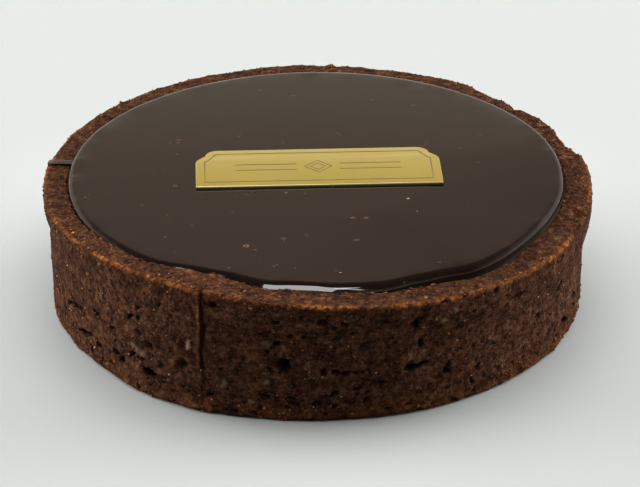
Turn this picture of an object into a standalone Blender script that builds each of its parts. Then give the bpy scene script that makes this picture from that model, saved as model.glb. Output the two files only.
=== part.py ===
"""A chocolate tart for one or two people, about 81 mm across and 20 mm high.

A baked cocoa crust holds a poured ganache that stands a little above the rim. A thin die-cut card lies
on the ganache, and a sliver of dark chocolate lies across the rim. Each is its own closed solid.

Units are metres. +Z is up, -Y is the front, and the origin is at the middle of the flat underside.
Azimuths are measured from +X towards +Y.
"""

import math

import bmesh
import bpy
from mathutils import Matrix, Vector

MM = 0.001

# Clearance between pieces that touch on the real tart.
GAP = 0.3 * MM

# Crust: a straight wall that flares into a lip, with a flat rim.
RIM_HEIGHT = 18.5 * MM
LIP_RADIUS = 40.5 * MM
WALL_RADIUS = 39.5 * MM
CAVITY_RADIUS = 36.9 * MM
BASE_THICKNESS = 4.0 * MM
FOOT_ROUNDING = 0.8 * MM
LIP_ROUNDING = 0.7 * MM
RIM_INNER_ROUNDING = 0.7 * MM
CAVITY_TAPER = 1.2 * MM
CRUST_COLUMNS = 144

# The lip flares out of the wall just below the rim. The flare starts lower on the right than on the left.
FLARE_BOTTOM = 11.6 * MM
FLARE_BOTTOM_DROP = 2.1 * MM
FLARE_TOP = 16.4 * MM
FLARE_RINGS = 7

# The wall stands slightly to the left of the lip.
WALL_SHIFT = -0.1 * MM

# Places where the crust is crumbled away or pushed out: azimuth, half width in degrees, and depth.
LIP_DENTS = (
    (17.5, 9.0, -0.9 * MM),
    (30.0, 25.0, -0.35 * MM),
    (43.0, 13.0, -0.85 * MM),
    (117.0, 8.0, 0.35 * MM),
    (165.0, 10.0, -0.3 * MM),
)
FOOT_DENTS = (
    (-154.0, 14.0, -0.2 * MM),
    (-120.0, 24.0, 0.8 * MM),
)

# Places where the rim is broader, so that the cavity is narrower.
CAVITY_DENTS = (
    (-93.0, 42.0, -0.7 * MM),
    (-115.0, 15.0, -1.3 * MM),
    (-94.0, 8.0, -0.4 * MM),
    (-64.0, 12.0, -0.9 * MM),
    (-28.0, 22.0, -0.45 * MM),
)

# Overlapped ends of the dough strip: the flap left of the seam stands proud.
SEAM_AZIMUTH = -113.6
SEAM_STEP = 0.25 * MM
SEAM_FADE = 11.0
SEAM_GROOVE = 0.1 * MM
SEAM_GROOVE_FADE = 2.0
SEAM_HALF_WIDTH = 0.2

# Ganache: level, with a rounded shoulder. It sags a little at the front right, where the rim is lowest.
GANACHE_TOP = 19.55 * MM
GANACHE_DOME = 0.1 * MM
SAG_DEPTH = 0.65 * MM
SAG_AZIMUTH = -42.0
SAG_HALF_WIDTH = 60.0
SAG_START = 16.0 * MM
SHOULDER_WIDTH = 1.4 * MM
SHOULDER_HEIGHT = 1.4 * MM
SHOULDER_STEPS = 5
GANACHE_COLUMNS = 108

# Card: a plate with stepped, rounded back corners.
CARD_LENGTH = 36.2 * MM
CARD_DEPTH = 12.0 * MM
CARD_THICKNESS = 0.55 * MM
CARD_CORNER_RADIUS = 1.9 * MM
CARD_CORNER_WIDTH = 3.3 * MM
CARD_CORNER_DEPTH = 4.1 * MM
CARD_NOTCH_TURNS = (76.0, -11.0)
CARD_ARC_STEPS = 5
CARD_EDGE_BEVEL = 0.08 * MM
CARD_CENTRE = (0.0, 0.4 * MM)
CARD_TURN = 2.5

# Sliver of dark chocolate, lying along the radius on the left of the rim.
SLIVER_LENGTH = 3.7 * MM
SLIVER_WIDTH = 1.1 * MM
SLIVER_THICKNESS = 0.5 * MM
SLIVER_BEVEL = 0.12 * MM
SLIVER_RADIUS = 38.6 * MM
SLIVER_AZIMUTH = 173.4
SLIVER_TAPER = 0.8


def clear_scene():
    for old in list(bpy.data.objects):
        bpy.data.objects.remove(old, do_unlink=True)


def linear(value):
    """One sRGB channel, 0 to 255, as a linear value."""
    share = value / 255
    return share / 12.92 if share <= 0.04045 else ((share + 0.055) / 1.055) ** 2.4


def material(name, colour, roughness, metallic=0.0, coat=0.0):
    made = bpy.data.materials.new(name)
    made.use_nodes = True
    shader = made.node_tree.nodes["Principled BSDF"]
    rgba = [linear(channel) for channel in colour] + [1.0]
    shader.inputs["Base Color"].default_value = rgba
    shader.inputs["Roughness"].default_value = roughness
    shader.inputs["Metallic"].default_value = metallic
    shader.inputs["Coat Weight"].default_value = coat
    made.diffuse_color = rgba
    return made


def add_node(name, shape, finish, smooth_below=40.0):
    """Turns a bmesh into the object of one node."""
    mesh = bpy.data.meshes.new(name)
    bmesh.ops.recalc_face_normals(shape, faces=shape.faces)
    shape.to_mesh(mesh)
    shape.free()
    mesh.materials.append(finish)
    mesh.shade_smooth()
    mesh.set_sharp_from_angle(angle=math.radians(smooth_below))
    made = bpy.data.objects.new(name, mesh)
    bpy.context.collection.objects.link(made)
    return made


def blend(value, low, high):
    """0 below low, 1 above high, and smooth between."""
    share = min(max((value - low) / (high - low), 0.0), 1.0)
    return share * share * (3 - 2 * share)


def degrees_from(azimuth, place):
    """Signed angle in degrees from one azimuth to another, between -180 and 180."""
    return (math.degrees(azimuth) - place + 180) % 360 - 180


def turned(profile, columns, first_azimuth=0.0):
    """A solid of revolution about Z from (radius, height) points that start and end on the axis."""
    shape = bmesh.new()
    start = Matrix.Rotation(math.radians(first_azimuth), 3, "Z")
    points = [shape.verts.new(start @ Vector((radius, 0.0, height))) for radius, height in profile]
    edges = [shape.edges.new(pair) for pair in zip(points, points[1:])]
    bmesh.ops.spin(
        shape,
        geom=points + edges,
        cent=(0, 0, 0),
        axis=(0, 0, 1),
        angle=math.tau,
        steps=columns,
        use_merge=True,
    )
    bmesh.ops.remove_doubles(shape, verts=shape.verts, dist=0.005 * MM)
    return shape


def dents(azimuth, places):
    """How far the listed dents and bulges move the surface out at one azimuth."""
    total = 0.0
    for place, half_width, depth in places:
        total += depth * blend(1 - abs(degrees_from(azimuth, place)) / half_width, 0.0, 0.8)
    return total


def lip_unevenness(azimuth):
    """How far the hand-pressed lip stands out from a true circle."""
    return MM * (
        -0.10 * math.sin(2 * azimuth)
        - 0.04 * math.cos(3 * azimuth)
        + 0.07 * math.sin(7 * azimuth + 0.6)
        + 0.05 * math.sin(11 * azimuth + 2.0)
    )


def rim_rise(azimuth):
    """How far the rim stands above its mean height: highest at the front left, lowest at the front right."""
    front = (1 - math.sin(azimuth)) / 2
    return MM * (
        -0.15 * math.cos(azimuth)
        + 0.13 * math.sin(azimuth)
        + front * (0.96 * math.sin(2 * azimuth) - 0.37 * math.cos(2 * azimuth))
        + 0.06 * math.sin(8 * azimuth + 1.1)
    )


def cavity_unevenness(azimuth):
    """How far the rim's inner edge, and the ganache with it, stands out from a true circle."""
    return MM * (
        -0.25 * math.cos(azimuth)
        - 0.10 * math.sin(azimuth)
        - 0.15 * math.cos(2 * azimuth)
        + 0.10 * math.sin(2 * azimuth)
        + 0.06 * math.sin(5 * azimuth + 0.4)
    ) + dents(azimuth, CAVITY_DENTS)


def seam_relief(azimuth):
    """The proud flap on one side of the seam, and the shallow groove on the other."""
    offset = degrees_from(azimuth, SEAM_AZIMUTH)
    if offset < 0:
        return SEAM_STEP * math.exp(offset / SEAM_FADE)
    return -SEAM_GROOVE * math.exp(-offset / SEAM_GROOVE_FADE)


def outer_radius(azimuth, height):
    """Radius of the crust's outside, from the straight wall at the foot to the lip."""
    wall = WALL_RADIUS + WALL_SHIFT * math.cos(azimuth) + dents(azimuth, FOOT_DENTS)
    lip = LIP_RADIUS + lip_unevenness(azimuth) + dents(azimuth, LIP_DENTS)
    flare_bottom = FLARE_BOTTOM - FLARE_BOTTOM_DROP * math.cos(azimuth)
    return wall + (lip - wall) * blend(height, flare_bottom, FLARE_TOP) + seam_relief(azimuth)


def press_by_hand(point):
    """Moves a point of the evenly turned crust to where the hand-pressed dough has it."""
    radius, height = math.hypot(point.x, point.y), point.z
    azimuth = math.atan2(point.y, point.x)
    inner = CAVITY_RADIUS + cavity_unevenness(azimuth)
    outer = outer_radius(azimuth, height)
    if height < BASE_THICKNESS:
        radius *= outer / LIP_RADIUS
    elif radius <= CAVITY_RADIUS:
        radius *= inner / CAVITY_RADIUS
    else:
        radius = inner + (radius - CAVITY_RADIUS) * (outer - inner) / (LIP_RADIUS - CAVITY_RADIUS)
    height += rim_rise(azimuth) * blend(height, BASE_THICKNESS, RIM_HEIGHT)
    return Vector((radius * math.cos(azimuth), radius * math.sin(azimuth), height))


def narrow_seam(shape):
    """Draws the two columns of points beside the seam together, so that the flap's edge is a sharp step."""
    for vert in shape.verts:
        radius = math.hypot(vert.co.x, vert.co.y)
        offset = degrees_from(math.atan2(vert.co.y, vert.co.x), SEAM_AZIMUTH)
        if radius > CAVITY_RADIUS and abs(offset) < 0.75 * 360 / CRUST_COLUMNS:
            azimuth = math.radians(SEAM_AZIMUTH + math.copysign(SEAM_HALF_WIDTH, offset))
            vert.co.xy = radius * math.cos(azimuth), radius * math.sin(azimuth)


def crust(finish):
    flare_low = FLARE_BOTTOM - FLARE_BOTTOM_DROP
    profile = [
        (0, 0),
        (LIP_RADIUS - FOOT_ROUNDING, 0),
        (LIP_RADIUS - FOOT_ROUNDING / 4, FOOT_ROUNDING / 4),
        (LIP_RADIUS, FOOT_ROUNDING),
        (LIP_RADIUS, BASE_THICKNESS),
    ]
    for ring in range(FLARE_RINGS):
        profile.append((LIP_RADIUS, flare_low + (FLARE_TOP - flare_low) * ring / (FLARE_RINGS - 1)))
    profile += [
        (LIP_RADIUS, RIM_HEIGHT - LIP_ROUNDING),
        (LIP_RADIUS - LIP_ROUNDING / 4, RIM_HEIGHT - LIP_ROUNDING / 4),
        (LIP_RADIUS - LIP_ROUNDING, RIM_HEIGHT),
        (CAVITY_RADIUS + RIM_INNER_ROUNDING, RIM_HEIGHT),
        (CAVITY_RADIUS + RIM_INNER_ROUNDING / 4, RIM_HEIGHT - RIM_INNER_ROUNDING / 4),
        (CAVITY_RADIUS, RIM_HEIGHT - RIM_INNER_ROUNDING),
        (CAVITY_RADIUS - CAVITY_TAPER / 2, BASE_THICKNESS + CAVITY_TAPER),
        (CAVITY_RADIUS - 2 * CAVITY_TAPER, BASE_THICKNESS),
        (0, BASE_THICKNESS),
    ]
    half_column = 180 / CRUST_COLUMNS
    shape = turned(profile, CRUST_COLUMNS, SEAM_AZIMUTH + half_column)
    narrow_seam(shape)
    for vert in shape.verts:
        vert.co = press_by_hand(vert.co)
    return add_node("crust", shape, finish)


def ganache_sag(azimuth, radius):
    """How far the ganache's top lies below its level at a place."""
    outward = max(0.0, (radius - SAG_START) / (CAVITY_RADIUS - SAG_START))
    return dents(azimuth, ((SAG_AZIMUTH, SAG_HALF_WIDTH, SAG_DEPTH),)) * outward**1.3


def ganache(finish):
    edge = CAVITY_RADIUS - GAP
    shoulder_start = edge - SHOULDER_WIDTH
    floor = BASE_THICKNESS + GAP
    profile = [
        (0, floor),
        (edge - 2 * CAVITY_TAPER, floor),
        (edge - CAVITY_TAPER / 2, floor + CAVITY_TAPER),
    ]
    for step in range(SHOULDER_STEPS + 1):
        turn = math.pi / 2 * step / SHOULDER_STEPS
        radius = shoulder_start + SHOULDER_WIDTH * math.cos(turn)
        profile.append((radius, GANACHE_TOP - SHOULDER_HEIGHT * (1 - math.sin(turn))))
    profile.append((SAG_START, GANACHE_TOP + GANACHE_DOME * (1 - (SAG_START / shoulder_start) ** 2)))
    profile.append((0, GANACHE_TOP + GANACHE_DOME))
    shape = turned(profile, GANACHE_COLUMNS)
    for vert in shape.verts:
        azimuth, radius = math.atan2(vert.co.y, vert.co.x), math.hypot(vert.co.x, vert.co.y)
        if vert.co.z > GANACHE_TOP - SHOULDER_HEIGHT - GAP:
            vert.co.z -= ganache_sag(azimuth, radius)
        vert.co.xy *= 1 + cavity_unevenness(azimuth) / CAVITY_RADIUS
    return add_node("ganache", shape, finish)


def arc(centre, radius, first, last, steps):
    """Points of an arc between two turns in degrees, counted from +X."""
    turns = [math.radians(first + (last - first) * step / steps) for step in range(steps + 1)]
    return [(centre[0] + radius * math.cos(turn), centre[1] + radius * math.sin(turn)) for turn in turns]


def stepped_corner():
    """The card's right back corner: two round shoulders, one behind the other, that meet in a notch."""
    outer_centre = (CARD_LENGTH / 2 - CARD_CORNER_RADIUS, CARD_DEPTH / 2 - CARD_CORNER_DEPTH)
    inner_centre = (CARD_LENGTH / 2 - CARD_CORNER_WIDTH, CARD_DEPTH / 2 - CARD_CORNER_RADIUS)
    outer_end, inner_start = CARD_NOTCH_TURNS
    outer_arc = arc(outer_centre, CARD_CORNER_RADIUS, 0.0, outer_end, CARD_ARC_STEPS)
    return outer_arc + arc(inner_centre, CARD_CORNER_RADIUS, inner_start, 90.0, CARD_ARC_STEPS)[1:]


def label_card(finish):
    right = [(CARD_LENGTH / 2, -CARD_DEPTH / 2)] + stepped_corner()
    outline = right + [(-x, y) for x, y in reversed(right)]
    shape = bmesh.new()
    face = shape.faces.new([shape.verts.new((x, y, 0.0)) for x, y in outline])
    raised = bmesh.ops.extrude_face_region(shape, geom=[face])["geom"]
    top = [item for item in raised if isinstance(item, bmesh.types.BMVert)]
    bmesh.ops.translate(shape, verts=top, vec=(0, 0, CARD_THICKNESS))
    rims = [edge for edge in shape.edges if all(vert in top for vert in edge.verts)]
    bmesh.ops.bevel(
        shape, geom=rims, offset=CARD_EDGE_BEVEL, segments=1, profile=0.5, affect="EDGES", material=-1
    )
    made = add_node("label_card", shape, finish, smooth_below=30.0)
    made.location = (*CARD_CENTRE, GANACHE_TOP + GANACHE_DOME + GAP)
    made.rotation_euler.z = math.radians(CARD_TURN)
    return made


def chocolate_sliver(finish):
    shape = bmesh.new()
    bmesh.ops.create_cube(shape, size=1.0)
    bmesh.ops.scale(shape, verts=shape.verts, vec=(SLIVER_LENGTH, SLIVER_WIDTH, SLIVER_THICKNESS))
    inner_end = [vert for vert in shape.verts if vert.co.x < 0]
    bmesh.ops.scale(shape, verts=inner_end, vec=(1, SLIVER_TAPER, SLIVER_TAPER))
    bmesh.ops.bevel(
        shape,
        geom=shape.edges[:],
        offset=SLIVER_BEVEL,
        segments=2,
        profile=0.5,
        affect="EDGES",
        material=-1,
    )
    made = add_node("chocolate_sliver", shape, finish)
    azimuth = math.radians(SLIVER_AZIMUTH)
    rim = RIM_HEIGHT + rim_rise(azimuth)
    made.location = (
        SLIVER_RADIUS * math.cos(azimuth),
        SLIVER_RADIUS * math.sin(azimuth),
        rim + GAP + SLIVER_THICKNESS / 2,
    )
    made.rotation_euler.z = azimuth
    return made


def main():
    clear_scene()
    crust(material("baked_cocoa_crust", (84, 58, 43), 0.85))
    ganache(material("poured_ganache", (44, 30, 24), 0.12, coat=0.3))
    label_card(material("gold_card", (205, 184, 95), 0.3, metallic=0.8))
    chocolate_sliver(material("dark_chocolate", (38, 24, 20), 0.3))


main()
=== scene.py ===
"""The looks of a chocolate tart: a cocoa shortcrust case, ganache, a gold card and a sliver of chocolate.

Everything is in metres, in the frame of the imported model: +Z up, -Y the front, the origin at the middle of
the underside. Azimuths are in degrees or radians from +X towards +Y. Sizes that the frame can't give, such as
the case's hand-pressed outline, are the same as those of its solids.
"""

import logging
import math
import random
from dataclasses import dataclass, field
from enum import Enum
from typing import Any, Callable, Iterable

import bmesh
import bpy
import numpy as np
from mathutils import Matrix, Vector, noise


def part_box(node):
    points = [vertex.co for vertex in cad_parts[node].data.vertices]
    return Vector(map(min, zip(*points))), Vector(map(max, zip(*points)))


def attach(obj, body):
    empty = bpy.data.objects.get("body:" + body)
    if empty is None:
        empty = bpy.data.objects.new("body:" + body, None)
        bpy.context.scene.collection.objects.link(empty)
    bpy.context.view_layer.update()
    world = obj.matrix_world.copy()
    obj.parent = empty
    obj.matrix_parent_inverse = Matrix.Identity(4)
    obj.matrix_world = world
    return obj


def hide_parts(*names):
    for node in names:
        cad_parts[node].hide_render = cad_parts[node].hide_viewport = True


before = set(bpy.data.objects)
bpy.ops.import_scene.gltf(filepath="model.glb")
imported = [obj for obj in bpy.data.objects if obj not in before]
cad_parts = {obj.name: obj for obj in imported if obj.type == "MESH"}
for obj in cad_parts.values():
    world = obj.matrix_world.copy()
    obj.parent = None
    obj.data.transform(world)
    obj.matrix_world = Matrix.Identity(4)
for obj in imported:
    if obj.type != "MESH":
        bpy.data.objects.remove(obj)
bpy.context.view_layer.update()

MM = 0.001
LOG = logging.getLogger("tart")
Profile = list[tuple[float, float]]
Colour = tuple[float, float, float, float]


# ---------------------------------------------------------------- general helpers


def blend(value: Any, low: float, high: float) -> Any:
    """A smooth step between two values.

    Args:
        value: One number or an array.
        low: Where the result is 0.
        high: Where the result is 1.

    Returns:
        0 to 1, of the same shape as value.
    """
    share = np.clip((value - low) / (high - low), 0.0, 1.0)
    return share * share * (3 - 2 * share)


def degrees_from(azimuth: Any, place: float) -> Any:
    """The signed angle in degrees from one azimuth to another.

    Args:
        azimuth: The azimuths in radians.
        place: The azimuth in degrees that they are measured from.

    Returns:
        Angles between -180 and 180.
    """
    return (np.degrees(azimuth) - place + 180) % 360 - 180


def linear_colour(code: str) -> Colour:
    """An sRGB hex colour as linear RGBA.

    Args:
        code: Six hex digits after a hash sign.

    Returns:
        The colour as the shader takes it.
    """
    shares = [int(code[start : start + 2], 16) / 255 for start in (1, 3, 5)]
    red, green, blue = (s / 12.92 if s <= 0.04045 else ((s + 0.055) / 1.055) ** 2.4 for s in shares)
    return red, green, blue, 1.0


def per_mm(size: float) -> float:
    """The texture scale that gives a pattern this size in millimetres on Object coordinates."""
    return 1 / (size * MM)


def smooth_noise(points: np.ndarray, size: float, seed: float) -> np.ndarray:
    """Smooth noise at each point.

    Args:
        points: Places in metres, one row each.
        size: Size of the noise's lumps in metres.
        seed: Shifts the noise, so that two layers differ.

    Returns:
        One value each, mostly between -0.6 and 0.6.
    """
    scaled = points / size + seed
    return np.array([noise.noise(Vector(point)) for point in scaled])


def pebble_noise(points: np.ndarray, size: float, seed: float) -> np.ndarray:
    """Rounded bumps with creases between them, as packed crumbs have.

    Args:
        points: Places in metres, one row each.
        size: Size of a crumb in metres.
        seed: Shifts the pattern.

    Returns:
        One value each: about 0.5 on top of a crumb and -0.4 in a crease.
    """
    scaled = points / size + seed
    return np.array([0.5 - noise.voronoi(Vector(point))[0][0] for point in scaled])


def coordinates(shape: bmesh.types.BMesh) -> np.ndarray:
    """The places of a shape's points, one row each."""
    return np.array([vert.co for vert in shape.verts])


def move_points(shape: bmesh.types.BMesh, places: np.ndarray) -> None:
    """Puts each point of the shape at its row of places."""
    for vert, place in zip(shape.verts, places):
        vert.co = place


def turned(profile: Profile, columns: int, start_azimuth: float = 0.0) -> bmesh.types.BMesh:
    """Turns a profile about the vertical axis.

    Args:
        profile: Radius and height of each of its points. An end on the axis closes the shape.
        columns: Number of steps round the axis.
        start_azimuth: Azimuth of the first step in degrees.

    Returns:
        The turned shape, its doubles merged and its faces pointing out.
    """
    shape = bmesh.new()
    start = Matrix.Rotation(math.radians(start_azimuth), 3, "Z")
    points = [shape.verts.new(start @ Vector((radius, 0.0, height))) for radius, height in profile]
    edges = [shape.edges.new(pair) for pair in zip(points, points[1:])]
    bmesh.ops.spin(
        shape,
        geom=points + edges,
        cent=(0, 0, 0),
        axis=(0, 0, 1),
        angle=math.tau,
        steps=columns,
        use_merge=True,
    )
    bmesh.ops.remove_doubles(shape, verts=shape.verts, dist=0.002 * MM)
    bmesh.ops.recalc_face_normals(shape, faces=shape.faces)
    return shape


def rows(start: tuple[float, float], end: tuple[float, float], count: int) -> Profile:
    """Evenly spaced profile points from start up to, but without, end."""
    shares = [step / count for step in range(count)]
    return [tuple(a + (b - a) * share for a, b in zip(start, end)) for share in shares]


def quarter(centre: tuple[float, float], radius: float, first: float, last: float, count: int) -> Profile:
    """Points of an arc in a profile.

    Args:
        centre: Radius and height of the arc's centre.
        radius: The arc's own radius.
        first: Turn in degrees at its first point, counted from outwards towards up.
        last: Turn in degrees at its last point, which is left out.
        count: Number of points.

    Returns:
        The points in order.
    """
    turns = [math.radians(first + (last - first) * step / count) for step in range(count)]
    return [(centre[0] + radius * math.cos(turn), centre[1] + radius * math.sin(turn)) for turn in turns]


def add_piece(
    name: str,
    shape: bmesh.types.BMesh,
    finish: "Finish",
    sharp_above: float = 60.0,
    replaces: str | None = None,
) -> bpy.types.Object:
    """Turns a shape into a piece of the tart, riding on its one body.

    Args:
        name: The piece's name.
        shape: Its mesh, which is freed.
        finish: What it is made of.
        sharp_above: Angle in degrees above which an edge is shaded sharp.
        replaces: The solid that the piece stands for, if it stands for one.

    Returns:
        The new object, at the origin and unturned.
    """
    mesh = bpy.data.meshes.new(name)
    shape.to_mesh(mesh)
    shape.free()
    mesh.materials.append(finish.made())
    mesh.shade_smooth()
    mesh.set_sharp_from_angle(angle=math.radians(sharp_above))
    piece = bpy.data.objects.new(name, mesh)
    bpy.context.collection.objects.link(piece)
    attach(piece, "root")
    if replaces:
        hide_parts(replaces)
    LOG.info("%s: %d points, %d faces", name, len(mesh.vertices), len(mesh.polygons))
    return piece


def add_node(
    tree: bpy.types.NodeTree, kind: str, inputs: dict[Any, Any] | None = None, **settings: Any
) -> Any:
    """Adds a shader node, sets it up and links it.

    Args:
        tree: The tree that it goes into.
        kind: Its type, such as ShaderNodeBump.
        inputs: Its inputs by name or number. A socket is linked, and any other value is set.
        settings: Its other settings.

    Returns:
        The node.
    """
    node = tree.nodes.new(kind)
    for name, value in settings.items():
        setattr(node, name, value)
    for name, value in (inputs or {}).items():
        if isinstance(value, bpy.types.NodeSocket):
            tree.links.new(value, node.inputs[name])
        else:
            node.inputs[name].default_value = value
    return node


def set_stops(ramp: Any, stops: Iterable[tuple[float, str]]) -> None:
    """Gives a colour ramp its stops, each a position and an sRGB hex colour."""
    elements = ramp.color_ramp.elements
    stops = list(stops)
    while len(elements) < len(stops):
        elements.new(0.5)
    for element, (position, code) in zip(elements, stops):
        element.position = position
        element.color = linear_colour(code)


# ---------------------------------------------------------------- finishes


@dataclass(frozen=True)
class Finish:
    """One material: its name, gloss and colours."""

    name: str
    roughness: float = 0.5

    def made(self) -> bpy.types.Material:
        """The Blender material, which is built the first time it is asked for."""
        known = bpy.data.materials.get(self.name)
        if known:
            return known
        material = bpy.data.materials.new(self.name)
        material.use_nodes = True
        tree = material.node_tree
        shader = tree.nodes["Principled BSDF"]
        shader.inputs["Roughness"].default_value = self.roughness
        self.paint(tree, shader)
        return material

    def paint(self, tree: bpy.types.NodeTree, shader: bpy.types.Node) -> None:
        """Adds the nodes of this finish.

        Args:
            tree: The material's nodes.
            shader: Its Principled shader.
        """
        raise NotImplementedError


@dataclass(frozen=True)
class BakedCocoaDough(Finish):
    """Cocoa shortcrust, baked dry: a matt, close crumb, mottled black-brown to rust, with pale flecks."""

    name: str = "baked_cocoa_shortcrust"
    roughness: float = 0.9
    specular: float = 0.03
    lump_mm: float = 1.9
    crumb_mm: float = 0.55
    crumb_share: float = 0.12
    hue_mm: float = 1.1
    crevice_mm: float = 0.9
    cloud_mm: float = 7.0
    fleck_mm: float = 1.3
    fleck_share: float = 0.45
    fleck_size: float = 0.10
    relief_mm: float = 0.7
    # The colour of the painted shade in dents, creases and crevices.
    deep: str = "#060302"
    pale: str = "#7c6854"
    # Each ramp runs from the dark of the crumb's hollows to the light of its lumps: painted shade in the
    # hollows of the bump and painted light on its lumps, with some of each crumb's own tone.
    plain_stops: tuple[tuple[float, str], ...] = (
        (0.38, "#160b06"),
        (0.50, "#361e13"),
        (0.63, "#563d29"),
        (0.74, "#7c6854"),
    )
    rusty_stops: tuple[tuple[float, str], ...] = ((0.36, "#160b06"), (0.50, "#412416"), (0.67, "#663f2b"))
    rim_stops: tuple[tuple[float, str], ...] = (
        (0.37, "#1f1009"),
        (0.47, "#321a0e"),
        (0.57, "#462916"),
        (0.70, "#6a4a29"),
    )
    # Colours of browned crumbs; the same colours paint the highlight along the rim's outer edge and the
    # seam's ridge.
    browning_and_highlight_stops: tuple[tuple[float, str], ...] = ((0.0, "#412416"), (0.45, "#6a3517"), (1.0, "#95602c"))

    def tone(self, tree: bpy.types.NodeTree, place: Any) -> tuple[Any, Any, Any]:
        """The light and dark of the crumb: mostly painted shade and light that follow the swells of the bump,
        with a little random tone of each crumb.

        Args:
            tree: The material's nodes.
            place: The point on the case.

        Returns:
            The tone, the swells that most of it comes from, and two random values of each crumb.
        """
        # The swells set both the bump and most of the tone, which paints shade in the hollows and light on
        # the lumps.
        swells = add_node(
            tree,
            "ShaderNodeTexNoise",
            {"Vector": place, "Scale": per_mm(self.lump_mm), "Detail": 5.0, "Roughness": 0.95},
        ).outputs["Fac"]
        crumbs = add_node(tree, "ShaderNodeTexVoronoi", {"Vector": place, "Scale": per_mm(self.crumb_mm)})
        chances = add_node(tree, "ShaderNodeSeparateColor", {"Color": crumbs.outputs["Color"]})
        mixed = add_node(
            tree,
            "ShaderNodeMix",
            {"Factor": self.crumb_share, 2: swells, 3: chances.outputs["Red"]},
            data_type="FLOAT",
        )
        return mixed.outputs[0], swells, chances

    def wall_colour(self, tree: bpy.types.NodeTree, place: Any, tone: Any) -> Any:
        """The wall's colour: painted light and shade by tone, and rustier or greyer from place to place."""
        plain = add_node(tree, "ShaderNodeValToRGB", {"Fac": tone})
        set_stops(plain, self.plain_stops)
        rusty = add_node(tree, "ShaderNodeValToRGB", {"Fac": tone})
        set_stops(rusty, self.rusty_stops)
        hue = add_node(
            tree,
            "ShaderNodeTexNoise",
            {"Vector": place, "Scale": per_mm(self.hue_mm), "Detail": 3.0, "Roughness": 0.8},
        )
        share = add_node(
            tree, "ShaderNodeMapRange", {"Value": hue.outputs["Fac"], "From Min": 0.42, "From Max": 0.60}
        )
        return add_node(
            tree,
            "ShaderNodeMix",
            {"Factor": share.outputs[0], 6: plain.outputs["Color"], 7: rusty.outputs["Color"]},
            data_type="RGBA",
        ).outputs[2]

    def flecks(self, tree: bpy.types.NodeTree, place: Any) -> Any:
        """A mask of small round flecks of flour and sugar, scattered at random."""
        cells = add_node(tree, "ShaderNodeTexVoronoi", {"Vector": place, "Scale": per_mm(self.fleck_mm)})
        chance = add_node(tree, "ShaderNodeSeparateColor", {"Color": cells.outputs["Color"]})
        radius = add_node(
            tree,
            "ShaderNodeMapRange",
            {
                "Value": chance.outputs["Blue"],
                "From Min": 1.0 - self.fleck_share,
                "From Max": 1.0,
                "To Min": 0.0,
                "To Max": self.fleck_size,
            },
        )
        inside = add_node(
            tree,
            "ShaderNodeMath",
            {0: radius.outputs[0], 1: cells.outputs["Distance"]},
            operation="SUBTRACT",
        )
        return add_node(
            tree,
            "ShaderNodeMapRange",
            {"Value": inside.outputs[0], "From Min": 0.0, "From Max": 0.25 * self.fleck_size},
        ).outputs[0]

    def painted_hollow_shade(self, tree: bpy.types.NodeTree, place: Any) -> Any:
        """Painted shade: how dark a point is for lying in a dent, in the seam's cut, in a crease between
        crumbs, or in a crevice where the noise dips lowest.
        """
        dips = add_node(
            tree,
            "ShaderNodeTexNoise",
            {"Vector": place, "Scale": per_mm(self.crevice_mm), "Detail": 4.0, "Roughness": 0.75},
        )
        gaps = add_node(
            tree, "ShaderNodeMapRange", {"Value": dips.outputs["Fac"], "From Min": 0.39, "From Max": 0.34}
        )
        # The hollow attribute holds painted shade in the dents, the seam's cut and the creases between
        # crumbs.
        hollow = add_node(tree, "ShaderNodeAttribute", attribute_name="hollow")
        return add_node(
            tree, "ShaderNodeMath", {0: gaps.outputs[0], 1: hollow.outputs["Fac"]}, operation="MAXIMUM"
        ).outputs[0]

    def browned(self, tree: bpy.types.NodeTree, place: Any, chance: Any) -> tuple[Any, Any]:
        """The browned edges, broken up into patches, which along the rim's outer edge and the seam's ridge
        are also a painted highlight.

        Args:
            tree: The material's nodes.
            place: The point on the case.
            chance: A random value of each crumb, which its colour goes by.

        Returns:
            How browned a point is, with the painted highlight on the edges, and its colour there.
        """
        baked = add_node(tree, "ShaderNodeAttribute", attribute_name="browning_and_painted_highlight")
        colour = add_node(tree, "ShaderNodeValToRGB", {"Fac": chance})
        set_stops(colour, self.browning_and_highlight_stops)
        clouds = add_node(
            tree,
            "ShaderNodeTexNoise",
            {"Vector": place, "Scale": per_mm(self.cloud_mm), "Detail": 3.0, "Roughness": 0.5},
        )
        patches = add_node(
            tree, "ShaderNodeMapRange", {"Value": clouds.outputs["Fac"], "From Min": 0.35, "From Max": 0.6}
        )
        share = add_node(
            tree, "ShaderNodeMath", {0: baked.outputs["Fac"], 1: patches.outputs[0]}, operation="MULTIPLY"
        )
        return share.outputs[0], colour.outputs["Color"]

    def paint(self, tree: bpy.types.NodeTree, shader: bpy.types.Node) -> None:
        """Lays the rim's colour, pale patches, painted shade in crevices and dents, flecks, and browned edges
        with their painted highlight over the wall's colour.
        """
        place = add_node(tree, "ShaderNodeTexCoord").outputs["Object"]
        tone, swells, chances = self.tone(tree, place)
        rim = add_node(tree, "ShaderNodeAttribute", attribute_name="rim")
        rim_colour = add_node(tree, "ShaderNodeValToRGB", {"Fac": tone})
        set_stops(rim_colour, self.rim_stops)
        patch = add_node(tree, "ShaderNodeAttribute", attribute_name="patch")
        painted_hollow_shade = self.painted_hollow_shade(tree, place)
        browning_and_highlight_share, browning_and_highlight_colour = self.browned(tree, place, chances.outputs["Green"])
        colour = self.wall_colour(tree, place, tone)
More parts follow.
